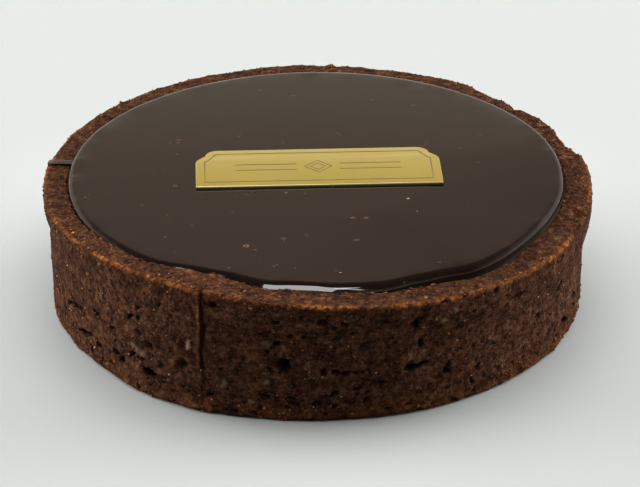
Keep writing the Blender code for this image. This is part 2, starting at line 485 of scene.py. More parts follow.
        # Laid on in order: the rim's colour, pale patches, painted shade in hollows, pale flecks, and
        # browning with its painted highlight on the edges.
        for share, above in (
            (rim.outputs["Fac"], rim_colour.outputs["Color"]),
            (patch.outputs["Fac"], linear_colour(self.pale)),
            (painted_hollow_shade, linear_colour(self.deep)),
            (self.flecks(tree, place), linear_colour(self.pale)),
            (browning_and_highlight_share, browning_and_highlight_colour),
        ):
            colour = add_node(
                tree, "ShaderNodeMix", {"Factor": share, 6: colour, 7: above}, data_type="RGBA"
            ).outputs[2]
        tree.links.new(colour, shader.inputs["Base Color"])
        height = add_node(tree, "ShaderNodeMath", {0: swells, 1: painted_hollow_shade}, operation="SUBTRACT")
        bump = add_node(
            tree,
            "ShaderNodeBump",
            {"Height": height.outputs[0], "Strength": 1.0, "Distance": self.relief_mm * MM},
        )
        tree.links.new(bump.outputs["Normal"], shader.inputs["Normal"])
        shader.inputs["Specular IOR Level"].default_value = self.specular


@dataclass(frozen=True)
class LooseCrumb(Finish):
    """Loose grains of baked dough, flour and sugar: matt, each of its own tone from near black to cream."""

    name: str = "loose_baked_crumb"
    roughness: float = 0.8
    specular: float = 0.03
    grit_mm: float = 0.2
    tones: tuple[tuple[float, str], ...] = (
        (0.0, "#24150e"),
        (0.3, "#442a1b"),
        (0.6, "#673f26"),
        (0.85, "#966334"),
        (1.0, "#c2aa84"),
    )

    def paint(self, tree: bpy.types.NodeTree, shader: bpy.types.Node) -> None:
        """Colours each grain by its own tone."""
        tone = add_node(tree, "ShaderNodeAttribute", attribute_name="tone")
        ramp = add_node(tree, "ShaderNodeValToRGB", {"Fac": tone.outputs["Fac"]})
        set_stops(ramp, self.tones)
        tree.links.new(ramp.outputs["Color"], shader.inputs["Base Color"])
        shader.inputs["Specular IOR Level"].default_value = self.specular
        place = add_node(tree, "ShaderNodeTexCoord").outputs["Object"]
        grit = add_node(
            tree, "ShaderNodeTexNoise", {"Vector": place, "Scale": per_mm(self.grit_mm), "Detail": 2.0}
        )
        bump = add_node(
            tree,
            "ShaderNodeBump",
            {"Height": grit.outputs["Fac"], "Strength": 0.5, "Distance": 0.05 * MM},
        )
        tree.links.new(bump.outputs["Normal"], shader.inputs["Normal"])


@dataclass(frozen=True)
class PouredGanache(Finish):
    """Ganache poured warm and left to set: a nearly black brown with a mirror gloss and fine cocoa specks."""

    name: str = "poured_ganache"
    roughness: float = 0.07
    body: str = "#0e0604"
    speck: str = "#55301f"
    speck_mm: float = 1.5
    swell_mm: float = 5.0

    def paint(self, tree: bpy.types.NodeTree, shader: bpy.types.Node) -> None:
        """Adds faint specks under the surface and its slow swell."""
        place = add_node(tree, "ShaderNodeTexCoord").outputs["Object"]
        cells = add_node(
            tree, "ShaderNodeTexVoronoi", {"Vector": place, "Scale": per_mm(self.speck_mm)}
        )
        size = add_node(tree, "ShaderNodeSeparateColor", {"Color": cells.outputs["Color"]})
        reach = add_node(
            tree,
            "ShaderNodeMapRange",
            {"Value": size.outputs["Red"], "From Min": 0.6, "From Max": 1.0, "To Min": 0.0, "To Max": 0.13},
        )
        inside = add_node(
            tree, "ShaderNodeMath", {0: reach.outputs[0], 1: cells.outputs["Distance"]}, operation="SUBTRACT"
        )
        mask = add_node(
            tree,
            "ShaderNodeMapRange",
            {"Value": inside.outputs[0], "From Min": 0.0, "From Max": 0.06, "To Min": 0.0, "To Max": 0.8},
        )
        colour = add_node(
            tree,
            "ShaderNodeMix",
            {"Factor": mask.outputs[0], 6: linear_colour(self.body), 7: linear_colour(self.speck)},
            data_type="RGBA",
        )
        tree.links.new(colour.outputs[2], shader.inputs["Base Color"])
        swell = add_node(
            tree, "ShaderNodeTexNoise", {"Vector": place, "Scale": per_mm(self.swell_mm), "Detail": 1.0}
        )
        bump = add_node(
            tree,
            "ShaderNodeBump",
            {"Height": swell.outputs["Fac"], "Strength": 0.25, "Distance": 0.02 * MM},
        )
        tree.links.new(bump.outputs["Normal"], shader.inputs["Normal"])
        shader.inputs["IOR"].default_value = 1.5


@dataclass(frozen=True)
class GanacheBlemish(Finish):
    """Cocoa butter drawn round a burst bubble: the ganache's gloss over a lighter, redder brown."""

    name: str = "ganache_bubble_rim"
    roughness: float = 0.2
    clear: str = "#0e0604"
    thin: str = "#3c2314"
    thick: str = "#543b24"

    def paint(self, tree: bpy.types.NodeTree, shader: bpy.types.Node) -> None:
        """Colours each mark by its own tone."""
        tone = add_node(tree, "ShaderNodeAttribute", attribute_name="tone")
        ramp = add_node(tree, "ShaderNodeValToRGB", {"Fac": tone.outputs["Fac"]})
        set_stops(ramp, [(0.0, self.clear), (0.5, self.thin), (1.0, self.thick)])
        tree.links.new(ramp.outputs["Color"], shader.inputs["Base Color"])


@dataclass(frozen=True)
class GoldFoil(Finish):
    """Matt gold foil laminated on card: a metal's soft, even sheen, with the faint tooth of the paper."""

    name: str = "matt_gold_foil"
    roughness: float = 0.34
    gold: str = "#938034"
    worn: str = "#89762e"
    tooth_mm: float = 0.35
    drift_mm: float = 9.0

    def paint(self, tree: bpy.types.NodeTree, shader: bpy.types.Node) -> None:
        """Adds the paper's tooth and a slight change of tone."""
        place = add_node(tree, "ShaderNodeTexCoord").outputs["Object"]
        tooth = add_node(
            tree, "ShaderNodeTexNoise", {"Vector": place, "Scale": per_mm(self.tooth_mm), "Detail": 3.0}
        )
        drift = add_node(
            tree, "ShaderNodeTexNoise", {"Vector": place, "Scale": per_mm(self.drift_mm), "Detail": 2.0}
        )
        colour = add_node(
            tree,
            "ShaderNodeMix",
            {"Factor": drift.outputs["Fac"], 6: linear_colour(self.gold), 7: linear_colour(self.worn)},
            data_type="RGBA",
        )
        tree.links.new(colour.outputs[2], shader.inputs["Base Color"])
        bump = add_node(
            tree,
            "ShaderNodeBump",
            {"Height": tooth.outputs["Fac"], "Strength": 0.2, "Distance": 0.01 * MM},
        )
        tree.links.new(bump.outputs["Normal"], shader.inputs["Normal"])
        shader.inputs["Metallic"].default_value = 0.4
        # A clear lacquer over the foil gives the card's front edge its thin white glint.
        shader.inputs["Coat Weight"].default_value = 0.5
        shader.inputs["Coat Roughness"].default_value = 0.12


@dataclass(frozen=True)
class DyedBoard(Finish):
    """The card's black dyed board, seen at its cut edge: matt, with a few pale paper fibres."""

    name: str = "black_dyed_board"
    roughness: float = 0.75
    black: str = "#15110e"
    fibre: str = "#8f877a"
    fibre_mm: float = 0.55

    def paint(self, tree: bpy.types.NodeTree, shader: bpy.types.Node) -> None:
        """Adds the pale fibres."""
        place = add_node(tree, "ShaderNodeTexCoord").outputs["Object"]
        cells = add_node(tree, "ShaderNodeTexVoronoi", {"Vector": place, "Scale": per_mm(self.fibre_mm)})
        mask = add_node(
            tree,
            "ShaderNodeMapRange",
            {
                "Value": cells.outputs["Distance"],
                "From Min": 0.1,
                "From Max": 0.22,
                "To Min": 0.8,
                "To Max": 0.0,
            },
        )
        colour = add_node(
            tree,
            "ShaderNodeMix",
            {"Factor": mask.outputs[0], 6: linear_colour(self.black), 7: linear_colour(self.fibre)},
            data_type="RGBA",
        )
        tree.links.new(colour.outputs[2], shader.inputs["Base Color"])


@dataclass(frozen=True)
class PrintedInk(Finish):
    """Dark ink printed on the foil: a thin, slightly shiny film."""

    name: str = "dark_printing_ink"
    roughness: float = 0.4
    ink: str = "#3c3320"
    thin_ink: str = "#5a4d2e"
    cover_mm: float = 0.4

    def paint(self, tree: bpy.types.NodeTree, shader: bpy.types.Node) -> None:
        """Adds the ink's slightly uneven cover."""
        place = add_node(tree, "ShaderNodeTexCoord").outputs["Object"]
        cover = add_node(
            tree, "ShaderNodeTexNoise", {"Vector": place, "Scale": per_mm(self.cover_mm), "Detail": 2.0}
        )
        ramp = add_node(tree, "ShaderNodeValToRGB", {"Fac": cover.outputs["Fac"]})
        set_stops(ramp, [(0.3, self.ink), (0.8, self.thin_ink)])
        tree.links.new(ramp.outputs["Color"], shader.inputs["Base Color"])


@dataclass(frozen=True)
class SnappedChocolate(Finish):
    """Tempered dark chocolate, snapped off: glossy on its face, duller and redder at the break."""

    name: str = "tempered_dark_chocolate"
    roughness: float = 0.24
    face: str = "#2b1a15"
    broken: str = "#5a3122"
    grain_mm: float = 0.3

    def paint(self, tree: bpy.types.NodeTree, shader: bpy.types.Node) -> None:
        """Adds the redder break at the end, and the fine grain."""
        place = add_node(tree, "ShaderNodeTexCoord").outputs["Object"]
        breaks = add_node(tree, "ShaderNodeAttribute", attribute_name="broken")
        colour = add_node(
            tree,
            "ShaderNodeMix",
            {"Factor": breaks.outputs["Fac"], 6: linear_colour(self.face), 7: linear_colour(self.broken)},
            data_type="RGBA",
        )
        tree.links.new(colour.outputs[2], shader.inputs["Base Color"])
        grain = add_node(
            tree, "ShaderNodeTexNoise", {"Vector": place, "Scale": per_mm(self.grain_mm), "Detail": 2.0}
        )
        bump = add_node(
            tree,
            "ShaderNodeBump",
            {"Height": grain.outputs["Fac"], "Strength": 0.4, "Distance": 0.03 * MM},
        )
        tree.links.new(bump.outputs["Normal"], shader.inputs["Normal"])


@dataclass(frozen=True)
class StudioPaper(Finish):
    """Seamless white paper under and behind the tart: matt, with painted light that makes it a little lighter
    close round the tart, where its shadow falls, and very slightly lighter towards the back.
    """

    name: str = "studio_paper"
    roughness: float = 0.9
    # The change from near to far is painted light, a little lighter towards the back.
    near: str = "#8b8d8b"
    far: str = "#8c8e8c"
    # The beside colour is painted light in a ring close round the tart, which lifts the tart's own shadow.
    beside: str = "#909290"
    reach: float = 90 * MM
    shadow_fill_start: float = 46 * MM
    shadow_fill_end: float = 74 * MM
    specular: float = 0.1

    def paint(self, tree: bpy.types.NodeTree, shader: bpy.types.Node) -> None:
        """Adds painted light: the slow change of tone from front to back, and the lighter ring close round
        the tart that lifts its shadow.
        """
        place = add_node(tree, "ShaderNodeTexCoord").outputs["Object"]
        depth = add_node(tree, "ShaderNodeSeparateXYZ", {"Vector": place})
        share = add_node(
            tree,
            "ShaderNodeMapRange",
            {"Value": depth.outputs["Y"], "From Min": -self.reach, "From Max": self.reach},
        )
        colour = add_node(
            tree,
            "ShaderNodeMix",
            {"Factor": share.outputs[0], 6: linear_colour(self.near), 7: linear_colour(self.far)},
            data_type="RGBA",
        )
        distance = add_node(tree, "ShaderNodeVectorMath", {0: place}, operation="LENGTH")
        # Painted light that lifts the tart's shadow close round its foot.
        beside = add_node(
            tree,
            "ShaderNodeMapRange",
            {"Value": distance.outputs["Value"], "From Min": self.shadow_fill_end, "From Max": self.shadow_fill_start},
            interpolation_type="SMOOTHSTEP",
        )
        shadow_filled = add_node(
            tree,
            "ShaderNodeMix",
            {"Factor": beside.outputs[0], 6: colour.outputs[2], 7: linear_colour(self.beside)},
            data_type="RGBA",
        )
        tree.links.new(shadow_filled.outputs[2], shader.inputs["Base Color"])
        shader.inputs["Specular IOR Level"].default_value = self.specular


# ---------------------------------------------------------------- the case


class Mark(Enum):
    """What a dent in the crust is."""

    PIT = "pit"
    CRACK = "crack"
    HOLLOW = "hollow"
    PATCH = "patch"


@dataclass(frozen=True)
class Dent:
    """A hole in the crust's outer wall: where it is, how big and how deep, in degrees and millimetres."""

    azimuth: float
    height: float
    width: float
    tall: float
    depth: float
    slant: float = 0.0
    mark: Mark = Mark.PIT


@dataclass(frozen=True)
class RimDent:
    """A bite, crumb or hollow in the rim: a positive rise stands up. In degrees and millimetres."""

    azimuth: float
    radius: float
    size: float
    rise: float
    browned: float = 0.0


@dataclass(frozen=True)
class CaseForm:
    """The hand-pressed outline of the case, as its solid has it."""

    rim_height: float = 18.5 * MM
    lip_radius: float = 40.5 * MM
    wall_radius: float = 39.5 * MM
    cavity_radius: float = 36.9 * MM
    base_thickness: float = 4.0 * MM
    foot_rounding: float = 0.8 * MM
    lip_rounding: float = 0.6 * MM
    inner_rounding: float = 0.3 * MM
    cavity_taper: float = 1.2 * MM
    flare_bottom: float = 11.6 * MM
    flare_bottom_drop: float = 2.1 * MM
    flare_top: float = 16.4 * MM
    wall_shift: float = -0.1 * MM
    lip_dents: tuple[tuple[float, float, float], ...] = (
        (17.5, 9.0, -0.9 * MM),
        (30.0, 25.0, -0.35 * MM),
        (43.0, 13.0, -0.85 * MM),
        (117.0, 8.0, 0.35 * MM),
        (165.0, 10.0, -0.3 * MM),
    )
    cavity_dents: tuple[tuple[float, float, float], ...] = (
        (-93.0, 42.0, -0.7 * MM),
        (-115.0, 15.0, -1.3 * MM),
        (-94.0, 8.0, -0.4 * MM),
        (-64.0, 12.0, -0.9 * MM),
        (-28.0, 22.0, -0.45 * MM),
    )
    foot_dents: tuple[tuple[float, float, float], ...] = ((-154.0, 14.0, -0.2 * MM), (-120.0, 24.0, 0.8 * MM))
    seam_azimuth: float = -113.6
    seam_step: float = 0.22 * MM
    seam_fade: float = 11.0
    seam_groove: float = 0.08 * MM
    seam_groove_fade: float = 2.0

    def lip_unevenness(self, azimuth: np.ndarray) -> np.ndarray:
        """How far the lip stands out from a true circle at each azimuth."""
        return MM * (
            -0.10 * np.sin(2 * azimuth)
            - 0.04 * np.cos(3 * azimuth)
            + 0.07 * np.sin(7 * azimuth + 0.6)
            + 0.05 * np.sin(11 * azimuth + 2.0)
        )

    def rim_rise(self, azimuth: Any) -> Any:
        """How far the rim stands above its mean height at each azimuth."""
        front = (1 - np.sin(azimuth)) / 2
        return MM * (
            -0.15 * np.cos(azimuth)
            + 0.13 * np.sin(azimuth)
            + front * (0.96 * np.sin(2 * azimuth) - 0.37 * np.cos(2 * azimuth))
            + 0.06 * np.sin(8 * azimuth + 1.1)
        )

    def cavity_unevenness(self, azimuth: np.ndarray) -> np.ndarray:
        """How far the rim's inner edge stands out from a true circle at each azimuth."""
        return MM * (
            -0.25 * np.cos(azimuth)
            - 0.10 * np.sin(azimuth)
            - 0.15 * np.cos(2 * azimuth)
            + 0.10 * np.sin(2 * azimuth)
            + 0.06 * np.sin(5 * azimuth + 0.4)
        ) + self.dents(azimuth, self.cavity_dents)

    def dents(self, azimuth: np.ndarray, places: Iterable[tuple[float, float, float]]) -> np.ndarray:
        """How far the listed broad dents and bulges move the surface out.

        Args:
            azimuth: The azimuths in radians.
            places: Azimuth and half width in degrees, and depth, of each dent.

        Returns:
            One distance for each azimuth.
        """
        total = np.zeros_like(azimuth)
        for place, half_width, depth in places:
            total += depth * blend(1 - abs(degrees_from(azimuth, place)) / half_width, 0.0, 0.8)
        return total

    def seam_relief(self, azimuth: np.ndarray) -> np.ndarray:
        """The proud flap of dough on one side of the seam, and the shallow groove on the other."""
        offset = degrees_from(azimuth, self.seam_azimuth)
        flap = self.seam_step * np.exp(np.minimum(offset, 0.0) / self.seam_fade)
        groove = -self.seam_groove * np.exp(-np.maximum(offset, 0.0) / self.seam_groove_fade)
        return np.where(offset < 0, flap, groove)

    def outer_radius(self, azimuth: np.ndarray, height: np.ndarray) -> np.ndarray:
        """Radius of the case's outside, from the straight wall at the foot to the lip."""
        wall = self.wall_radius + self.wall_shift * np.cos(azimuth) + self.dents(azimuth, self.foot_dents)
        lip = self.lip_radius + self.lip_unevenness(azimuth) + self.dents(azimuth, self.lip_dents)
        flare_bottom = self.flare_bottom - self.flare_bottom_drop * np.cos(azimuth)
        seam = self.seam_relief(azimuth) * (0.15 + 0.85 * blend(height, 1.0 * MM, 8.0 * MM))
        return wall + (lip - wall) * blend(height, flare_bottom, self.flare_top) + seam

    def pressed(self, even: np.ndarray) -> np.ndarray:
        """Moves points of the evenly turned case to where the hand-pressed dough has them."""
        radius, height = np.hypot(even[:, 0], even[:, 1]), even[:, 2]
        azimuth = np.arctan2(even[:, 1], even[:, 0])
        inner = self.cavity_radius + self.cavity_unevenness(azimuth)
        outer = self.outer_radius(azimuth, height)
        in_base = height < self.base_thickness
        in_cavity = radius <= self.cavity_radius
        wall_share = (radius - self.cavity_radius) / (self.lip_radius - self.cavity_radius)
        new_radius = np.where(
            in_base,
            radius * outer / self.lip_radius,
            np.where(in_cavity, radius * inner / self.cavity_radius, inner + wall_share * (outer - inner)),
        )
        raised = height + self.rim_rise(azimuth) * blend(height, self.base_thickness, self.rim_height)
        return np.stack([new_radius * np.cos(azimuth), new_radius * np.sin(azimuth), raised], axis=1)


@dataclass
class Case:
    """The cocoa shortcrust case, with its crumb, pits, cracks and browned edge, and painted shade in its
    hollows and a painted highlight on its edges.
    """

    form: CaseForm = field(default_factory=CaseForm)
    finish: Finish = field(default_factory=BakedCocoaDough)
    columns: int = 832
    underside_rings: int = 13
    wall_rows: int = 62
    lip_rows: int = 4
    rim_rows: int = 9
    inner_rows: int = 9
    seam_reach: float = 4.0
    seam_draw: float = 1.8
    seam_ridge: float = 0.06 * MM
    seam_cut: float = 0.2 * MM
    seam_wander: float = 0.5
    seam_wander_reach: float = 3.0
    # The cut is widest part of the way up. Its widths, and places beside the seam, are in degrees.
    seam_cut_width: float = 0.14
    seam_cut_more: float = 0.34
    seam_cut_widest: float = 12.4 * MM
    seam_cut_spread: float = 1.7 * MM
    seam_ridge_place: float = -0.42
    seam_ridge_width: float = 0.34
    lump: float = 0.20 * MM
    lump_size: float = 8.0 * MM
    wall_crumb: float = 0.6
    crumb: float = 0.15 * MM
    crumb_size: float = 2.4 * MM
    pebble: float = 0.19 * MM
    pebble_size: float = 1.15 * MM
    grain: float = 0.13 * MM
    grain_size: float = 0.62 * MM
    inner_lip: float = 0.1 * MM
    edge_width: float = 0.21 * MM
    ragged: float = 0.4 * MM
    ragged_size: float = 0.7 * MM
    hole_scale: float = 0.84
    random_pits: int = 70
    random_cracks: int = 12
    foot_cracks: int = 150
    # The holes and pale places that show most on the front half, from left to right.
    dents: tuple[Dent, ...] = (
        Dent(-152.7, 6.7, 7.0, 1.0, 0.9, 14.0, Mark.CRACK),
        Dent(-148.0, 3.8, 6.6, 1.0, 0.9, 15.0, Mark.CRACK),
        Dent(-142.3, 8.9, 1.8, 0.6, 0.5, 0.0, Mark.CRACK),
        Dent(-142.1, 3.6, 1.2, 0.9, 0.7),
        Dent(-136.5, 8.1, 1.6, 1.0, 0.5, 0.0, Mark.HOLLOW),
        Dent(-135.4, 4.6, 1.7, 1.1, 0.9, -24.0),
        Dent(-133.7, 4.1, 1.1, 1.5, 0.9, -15.0),
        Dent(-130.6, 11.8, 2.1, 0.6, 0.4, 39.0, Mark.CRACK),
        Dent(-130.5, 6.0, 1.7, 0.9, 0.8, -5.0, Mark.CRACK),
        Dent(-128.0, 5.9, 1.6, 0.5, 0.5, 0.0, Mark.CRACK),
        Dent(-128.8, 9.7, 1.6, 1.1, 0.7, 0.0, Mark.HOLLOW),
        Dent(-128.3, 13.7, 1.2, 0.6, 0.35),
        Dent(-125.8, 4.1, 2.8, 1.6, 1.3, -14.0),
        Dent(-125.6, 8.3, 1.8, 1.7, 0.6, 0.0, Mark.HOLLOW),
        Dent(-125.4, 2.2, 0.8, 0.6, 0.5),
        Dent(-122.9, 5.8, 1.1, 1.3, 0.6, 0.0, Mark.HOLLOW),
        Dent(-123.1, 15.5, 0.8, 0.7, 0.4),
        Dent(-117.6, 7.2, 2.2, 1.8, 0.8, 0.0, Mark.HOLLOW),
        Dent(-117.5, 10.4, 0.7, 1.9, 0.5, 0.0, Mark.HOLLOW),
        Dent(-117.5, 3.5, 0.7, 0.7, 0.4),
        Dent(-111.9, 3.1, 0.7, 0.8, 0.6),
        Dent(-111.0, 17.4, 2.3, 0.9, 0.8, -12.0, Mark.CRACK),
        Dent(-109.7, 7.5, 0.8, 0.7, 0.4),
        Dent(-108.6, 1.0, 0.7, 0.7, 0.5),
        Dent(-104.7, 2.7, 0.8, 0.5, 0.5, -20.0),
        Dent(-102.7, 1.0, 1.2, 0.6, 0.6),
        Dent(-101.7, 1.9, 1.0, 0.9, 0.6, 35.0),
        Dent(-100.0, 11.0, 1.0, 0.7, 0.6),
        Dent(-98.3, 16.0, 1.0, 0.7, 0.6),
        Dent(-98.2, 12.2, 1.0, 0.9, 0.6),
        Dent(-97.2, 9.3, 3.6, 1.5, 0.9, 8.0, Mark.HOLLOW),
        Dent(-96.7, 8.8, 2.4, 2.0, 1.4),
        Dent(-95.3, 13.6, 0.8, 0.7, 0.5),
        Dent(-95.0, 3.8, 1.4, 0.6, 0.5),
        Dent(-93.1, 17.0, 0.9, 0.9, 0.5, 0.0, Mark.HOLLOW),
        Dent(-92.6, 13.7, 0.8, 0.7, 0.5),
        Dent(-90.2, 2.9, 1.7, 0.8, 0.8, -8.0),
        Dent(-89.2, 16.2, 2.3, 0.9, 0.8, 0.0, Mark.HOLLOW),
        Dent(-88.8, 8.0, 1.2, 1.2, 0.9),
        Dent(-88.6, 1.3, 0.7, 0.7, 0.5),
        Dent(-86.7, 4.4, 1.6, 0.8, 0.7, 25.0),
        Dent(-86.4, 7.8, 1.4, 0.7, 0.7),
        Dent(-85.0, 16.0, 1.4, 0.9, 0.7),
        Dent(-84.4, 7.6, 1.2, 0.9, 0.8, 25.0),
        Dent(-82.4, 7.6, 0.7, 0.8, 0.5),
        Dent(-81.2, 7.5, 0.7, 0.7, 0.4),
        Dent(-82.2, 5.1, 1.3, 0.7, 0.5, -20.0),
        Dent(-80.1, 3.2, 0.8, 0.7, 0.6),
        Dent(-77.0, 15.9, 1.0, 0.7, 0.5),
        Dent(-76.8, 5.8, 1.0, 0.7, 0.5),
        Dent(-70.4, 14.9, 3.6, 2.2, 0.8, 61.0, Mark.HOLLOW),
        Dent(-70.4, 14.5, 1.8, 1.3, 1.0, 45.0),
        Dent(-70.8, 7.5, 2.9, 1.1, 1.1, 5.0, Mark.CRACK),
        Dent(-68.6, 7.8, 2.6, 0.7, 0.7, 6.0, Mark.CRACK),
        Dent(-69.1, 11.2, 0.9, 1.6, 0.7),
        Dent(-64.4, 17.4, 1.3, 0.7, 0.5),
        Dent(-62.9, 5.7, 1.7, 1.0, 1.0),
        Dent(-62.9, 6.6, 0.9, 1.7, 1.0),
        Dent(-63.0, 3.1, 0.9, 0.5, 0.5),
        Dent(-61.4, 13.8, 1.1, 0.7, 0.5),
        Dent(-60.1, 17.3, 1.0, 0.8, 0.4),
        Dent(-57.0, 3.0, 1.9, 0.7, 0.7, -64.0, Mark.CRACK),
        Dent(-55.6, 5.1, 0.8, 1.1, 0.7),
        Dent(-52.6, 16.8, 0.8, 1.0, 0.5),
        Dent(-46.4, 14.2, 2.0, 1.1, 0.7, 20.0, Mark.HOLLOW),
        Dent(-129.8, 7.2, 1.9, 1.0, 0.5, -20.0, Mark.PATCH),
        Dent(-127.5, 6.7, 1.1, 1.0, 0.6, 0.0, Mark.PATCH),
        Dent(-116.3, 10.4, 0.7, 1.5, 0.9, 0.0, Mark.PATCH),
        Dent(-109.0, 5.0, 0.9, 1.5, 0.6, 0.0, Mark.PATCH),
        Dent(-103.5, 2.6, 1.0, 1.0, 0.6, 0.0, Mark.PATCH),
        Dent(-100.3, 6.1, 1.1, 0.8, 0.5, 20.0, Mark.PATCH),
        Dent(-100.2, 12.2, 1.3, 1.1, 0.35, 0.0, Mark.PATCH),
        Dent(-97.0, 11.5, 0.5, 1.0, 0.6, 0.0, Mark.PATCH),
        Dent(-71.2, 9.4, 0.8, 1.5, 0.5, 0.0, Mark.PATCH),
        Dent(-64.5, 14.4, 1.1, 0.9, 0.5, 0.0, Mark.PATCH),
        Dent(-61.9, 15.8, 1.0, 0.8, 0.5, 0.0, Mark.PATCH),
        Dent(-61.4, 2.1, 0.8, 0.8, 0.5, 0.0, Mark.PATCH),
    )
    rim_dents: tuple[RimDent, ...] = (
        RimDent(-15.2, 39.3, 1.0, -0.9, 1.0),
        RimDent(-18.6, 39.7, 0.5, 0.3, 1.0),
        RimDent(-20.0, 40.1, 0.5, 0.3, 1.0),
        RimDent(-10.9, 37.4, 0.5, 0.15, 0.3),
        RimDent(-24.9, 37.4, 0.7, -0.5),
        RimDent(9.7, 39.8, 0.9, 0.25),
        RimDent(16.5, 39.2, 1.3, -0.3, 0.2),
        RimDent(23.5, 39.6, 0.8, 0.3),
        RimDent(38.0, 39.3, 1.0, -0.35),
        RimDent(87.0, 39.8, 0.8, 0.35, 0.3),
        RimDent(139.5, 40.2, 0.7, 0.2),
        RimDent(-119.0, 36.5, 0.7, 0.2, 0.6),
        RimDent(-113.9, 36.0, 0.8, 0.2, 0.5),
        RimDent(-64.3, 37.5, 0.6, 0.25, 0.6),
        RimDent(-164.0, 38.5, 1.0, -0.3),
    )

    def profile(self) -> Profile:
        """The even case's outline: the underside from its middle, up the outside and down into the cavity."""
        form = self.form
        foot_centre = (form.lip_radius - form.foot_rounding, form.foot_rounding)
        lip_centre = (form.lip_radius - form.lip_rounding, form.rim_height - form.lip_rounding)
        inner_centre = (form.cavity_radius + form.inner_rounding, form.rim_height - form.inner_rounding)
        cavity_wall = (form.cavity_radius, inner_centre[1])
        cavity_low = (form.cavity_radius - form.cavity_taper / 2, form.base_thickness + form.cavity_taper)
        cavity_floor = (form.cavity_radius - 2 * form.cavity_taper, form.base_thickness)
        seen_depth = (form.cavity_radius - 0.1 * MM, form.rim_height - 4.0 * MM)
        outline: Profile = [(0.0, 0.0)]
        # Rings get closer towards the foot, so that their faces stay about as long as they are wide.
        for ring in range(1, self.underside_rings):
            outline.append((foot_centre[0] * (ring / self.underside_rings) ** 0.6, 0.0))
        outline += quarter(foot_centre, form.foot_rounding, -90.0, 0.0, 5)
        outline += rows((form.lip_radius, foot_centre[1]), (form.lip_radius, lip_centre[1]), self.wall_rows)
        outline += quarter(lip_centre, form.lip_rounding, 0.0, 90.0, self.lip_rows)
        outline += rows((lip_centre[0], form.rim_height), (inner_centre[0], form.rim_height), self.rim_rows)
        outline += quarter(inner_centre, form.inner_rounding, 90.0, 180.0, self.lip_rows)
        outline += rows(cavity_wall, seen_depth, self.inner_rows)
        outline += [seen_depth, cavity_low, cavity_floor, (0.0, form.base_thickness)]
        return outline

    def narrowed_seam(self, even: np.ndarray) -> np.ndarray:
        """Draws the columns of points beside the seam together, so that the flap's edge is a sharp step."""
        radius = np.hypot(even[:, 0], even[:, 1])
        azimuth = np.arctan2(even[:, 1], even[:, 0])
        offset = degrees_from(azimuth, self.form.seam_azimuth)
        near = (radius > self.form.cavity_radius) & (abs(offset) < self.seam_reach)
        drawn = np.sign(offset) * self.seam_reach * (abs(offset) / self.seam_reach) ** self.seam_draw
        azimuth = np.where(near, np.radians(self.form.seam_azimuth + drawn), azimuth)
        return np.stack([radius * np.cos(azimuth), radius * np.sin(azimuth), even[:, 2]], axis=1)

    def wandering_seam(self, placed: np.ndarray) -> np.ndarray:
        """Turns the points beside the seam a little to and fro, because it was pressed by hand."""
        radius = np.hypot(placed[:, 0], placed[:, 1])
        azimuth = np.arctan2(placed[:, 1], placed[:, 0])
        up = np.stack([np.zeros(len(placed)), np.zeros(len(placed)), placed[:, 2]], axis=1)
        wander = smooth_noise(up, 4.0 * MM, 83.0) + 0.5 * smooth_noise(up, 1.3 * MM, 85.0)
        near = np.exp(-((degrees_from(azimuth, self.form.seam_azimuth) / self.seam_wander_reach) ** 2))
        azimuth = azimuth + np.radians(self.seam_wander) * wander * near * (radius > self.form.cavity_radius)
        return np.stack([radius * np.cos(azimuth), radius * np.sin(azimuth), placed[:, 2]], axis=1)

    def seam_lines(self, azimuth: np.ndarray, height: np.ndarray) -> tuple[np.ndarray, np.ndarray]:
        """The flap's thin browned edge, which also carries a painted highlight, and the narrow cut beside it,
        which also carries painted shade, each from 0 to 1.

        Args:
            azimuth: Azimuths of the points, in radians.
            height: Heights of the points.

        Returns:
            How far each point is on the edge, and in the cut.
        """
        offset = degrees_from(azimuth, self.form.seam_azimuth)
        from_widest = (height - self.seam_cut_widest) / self.seam_cut_spread
        wide = self.seam_cut_width + self.seam_cut_more * np.exp(-(from_widest**2))
        from_ridge = (offset - self.seam_ridge_place) / self.seam_ridge_width
        ridge = np.exp(-(from_ridge**2)) * blend(height, 4.0 * MM, 9.0 * MM)
        groove = np.exp(-(((offset - 0.7 * wide) / wide) ** 4)) * blend(height, 5.0 * MM, 8.5 * MM)
        return ridge, groove

    def all_dents(self) -> list[Dent]:
        """The placed dents, and random smaller ones all round, most of them near the foot."""
        rng = random.Random(7)
        found = list(self.dents)
        for _ in range(self.random_pits):
            height = rng.uniform(0.8, 16.8) if rng.random() < 0.5 else rng.uniform(0.5, 6.0)
            width = rng.uniform(0.35, 0.75)
            azimuth, tall = rng.uniform(-180, 180), width * rng.uniform(0.6, 1.2)
            found.append(Dent(azimuth, height, width, tall, rng.uniform(0.15, 0.45)))
        # The foot is drier: short level cracks run through its crumb.
        for _ in range(self.foot_cracks):
            azimuth, height = rng.uniform(-180, 180), 0.5 + 4.0 * rng.random() ** 1.6
            width, depth = rng.uniform(0.6, 1.7), rng.uniform(0.25, 0.5)
            found.append(Dent(azimuth, height, width, 0.5, depth, rng.uniform(-30, 30), Mark.CRACK))
        # The sides and the back have a few larger holes too, like those at the front.
        for _ in range(self.random_cracks):
            azimuth, width = rng.uniform(-45, 205), rng.uniform(1.2, 3.0)
            height = rng.uniform(2.5, 11.0)
            found.append(Dent(azimuth, height, width, width * 0.35, 0.5, rng.uniform(-25, 25), Mark.CRACK))
        return found

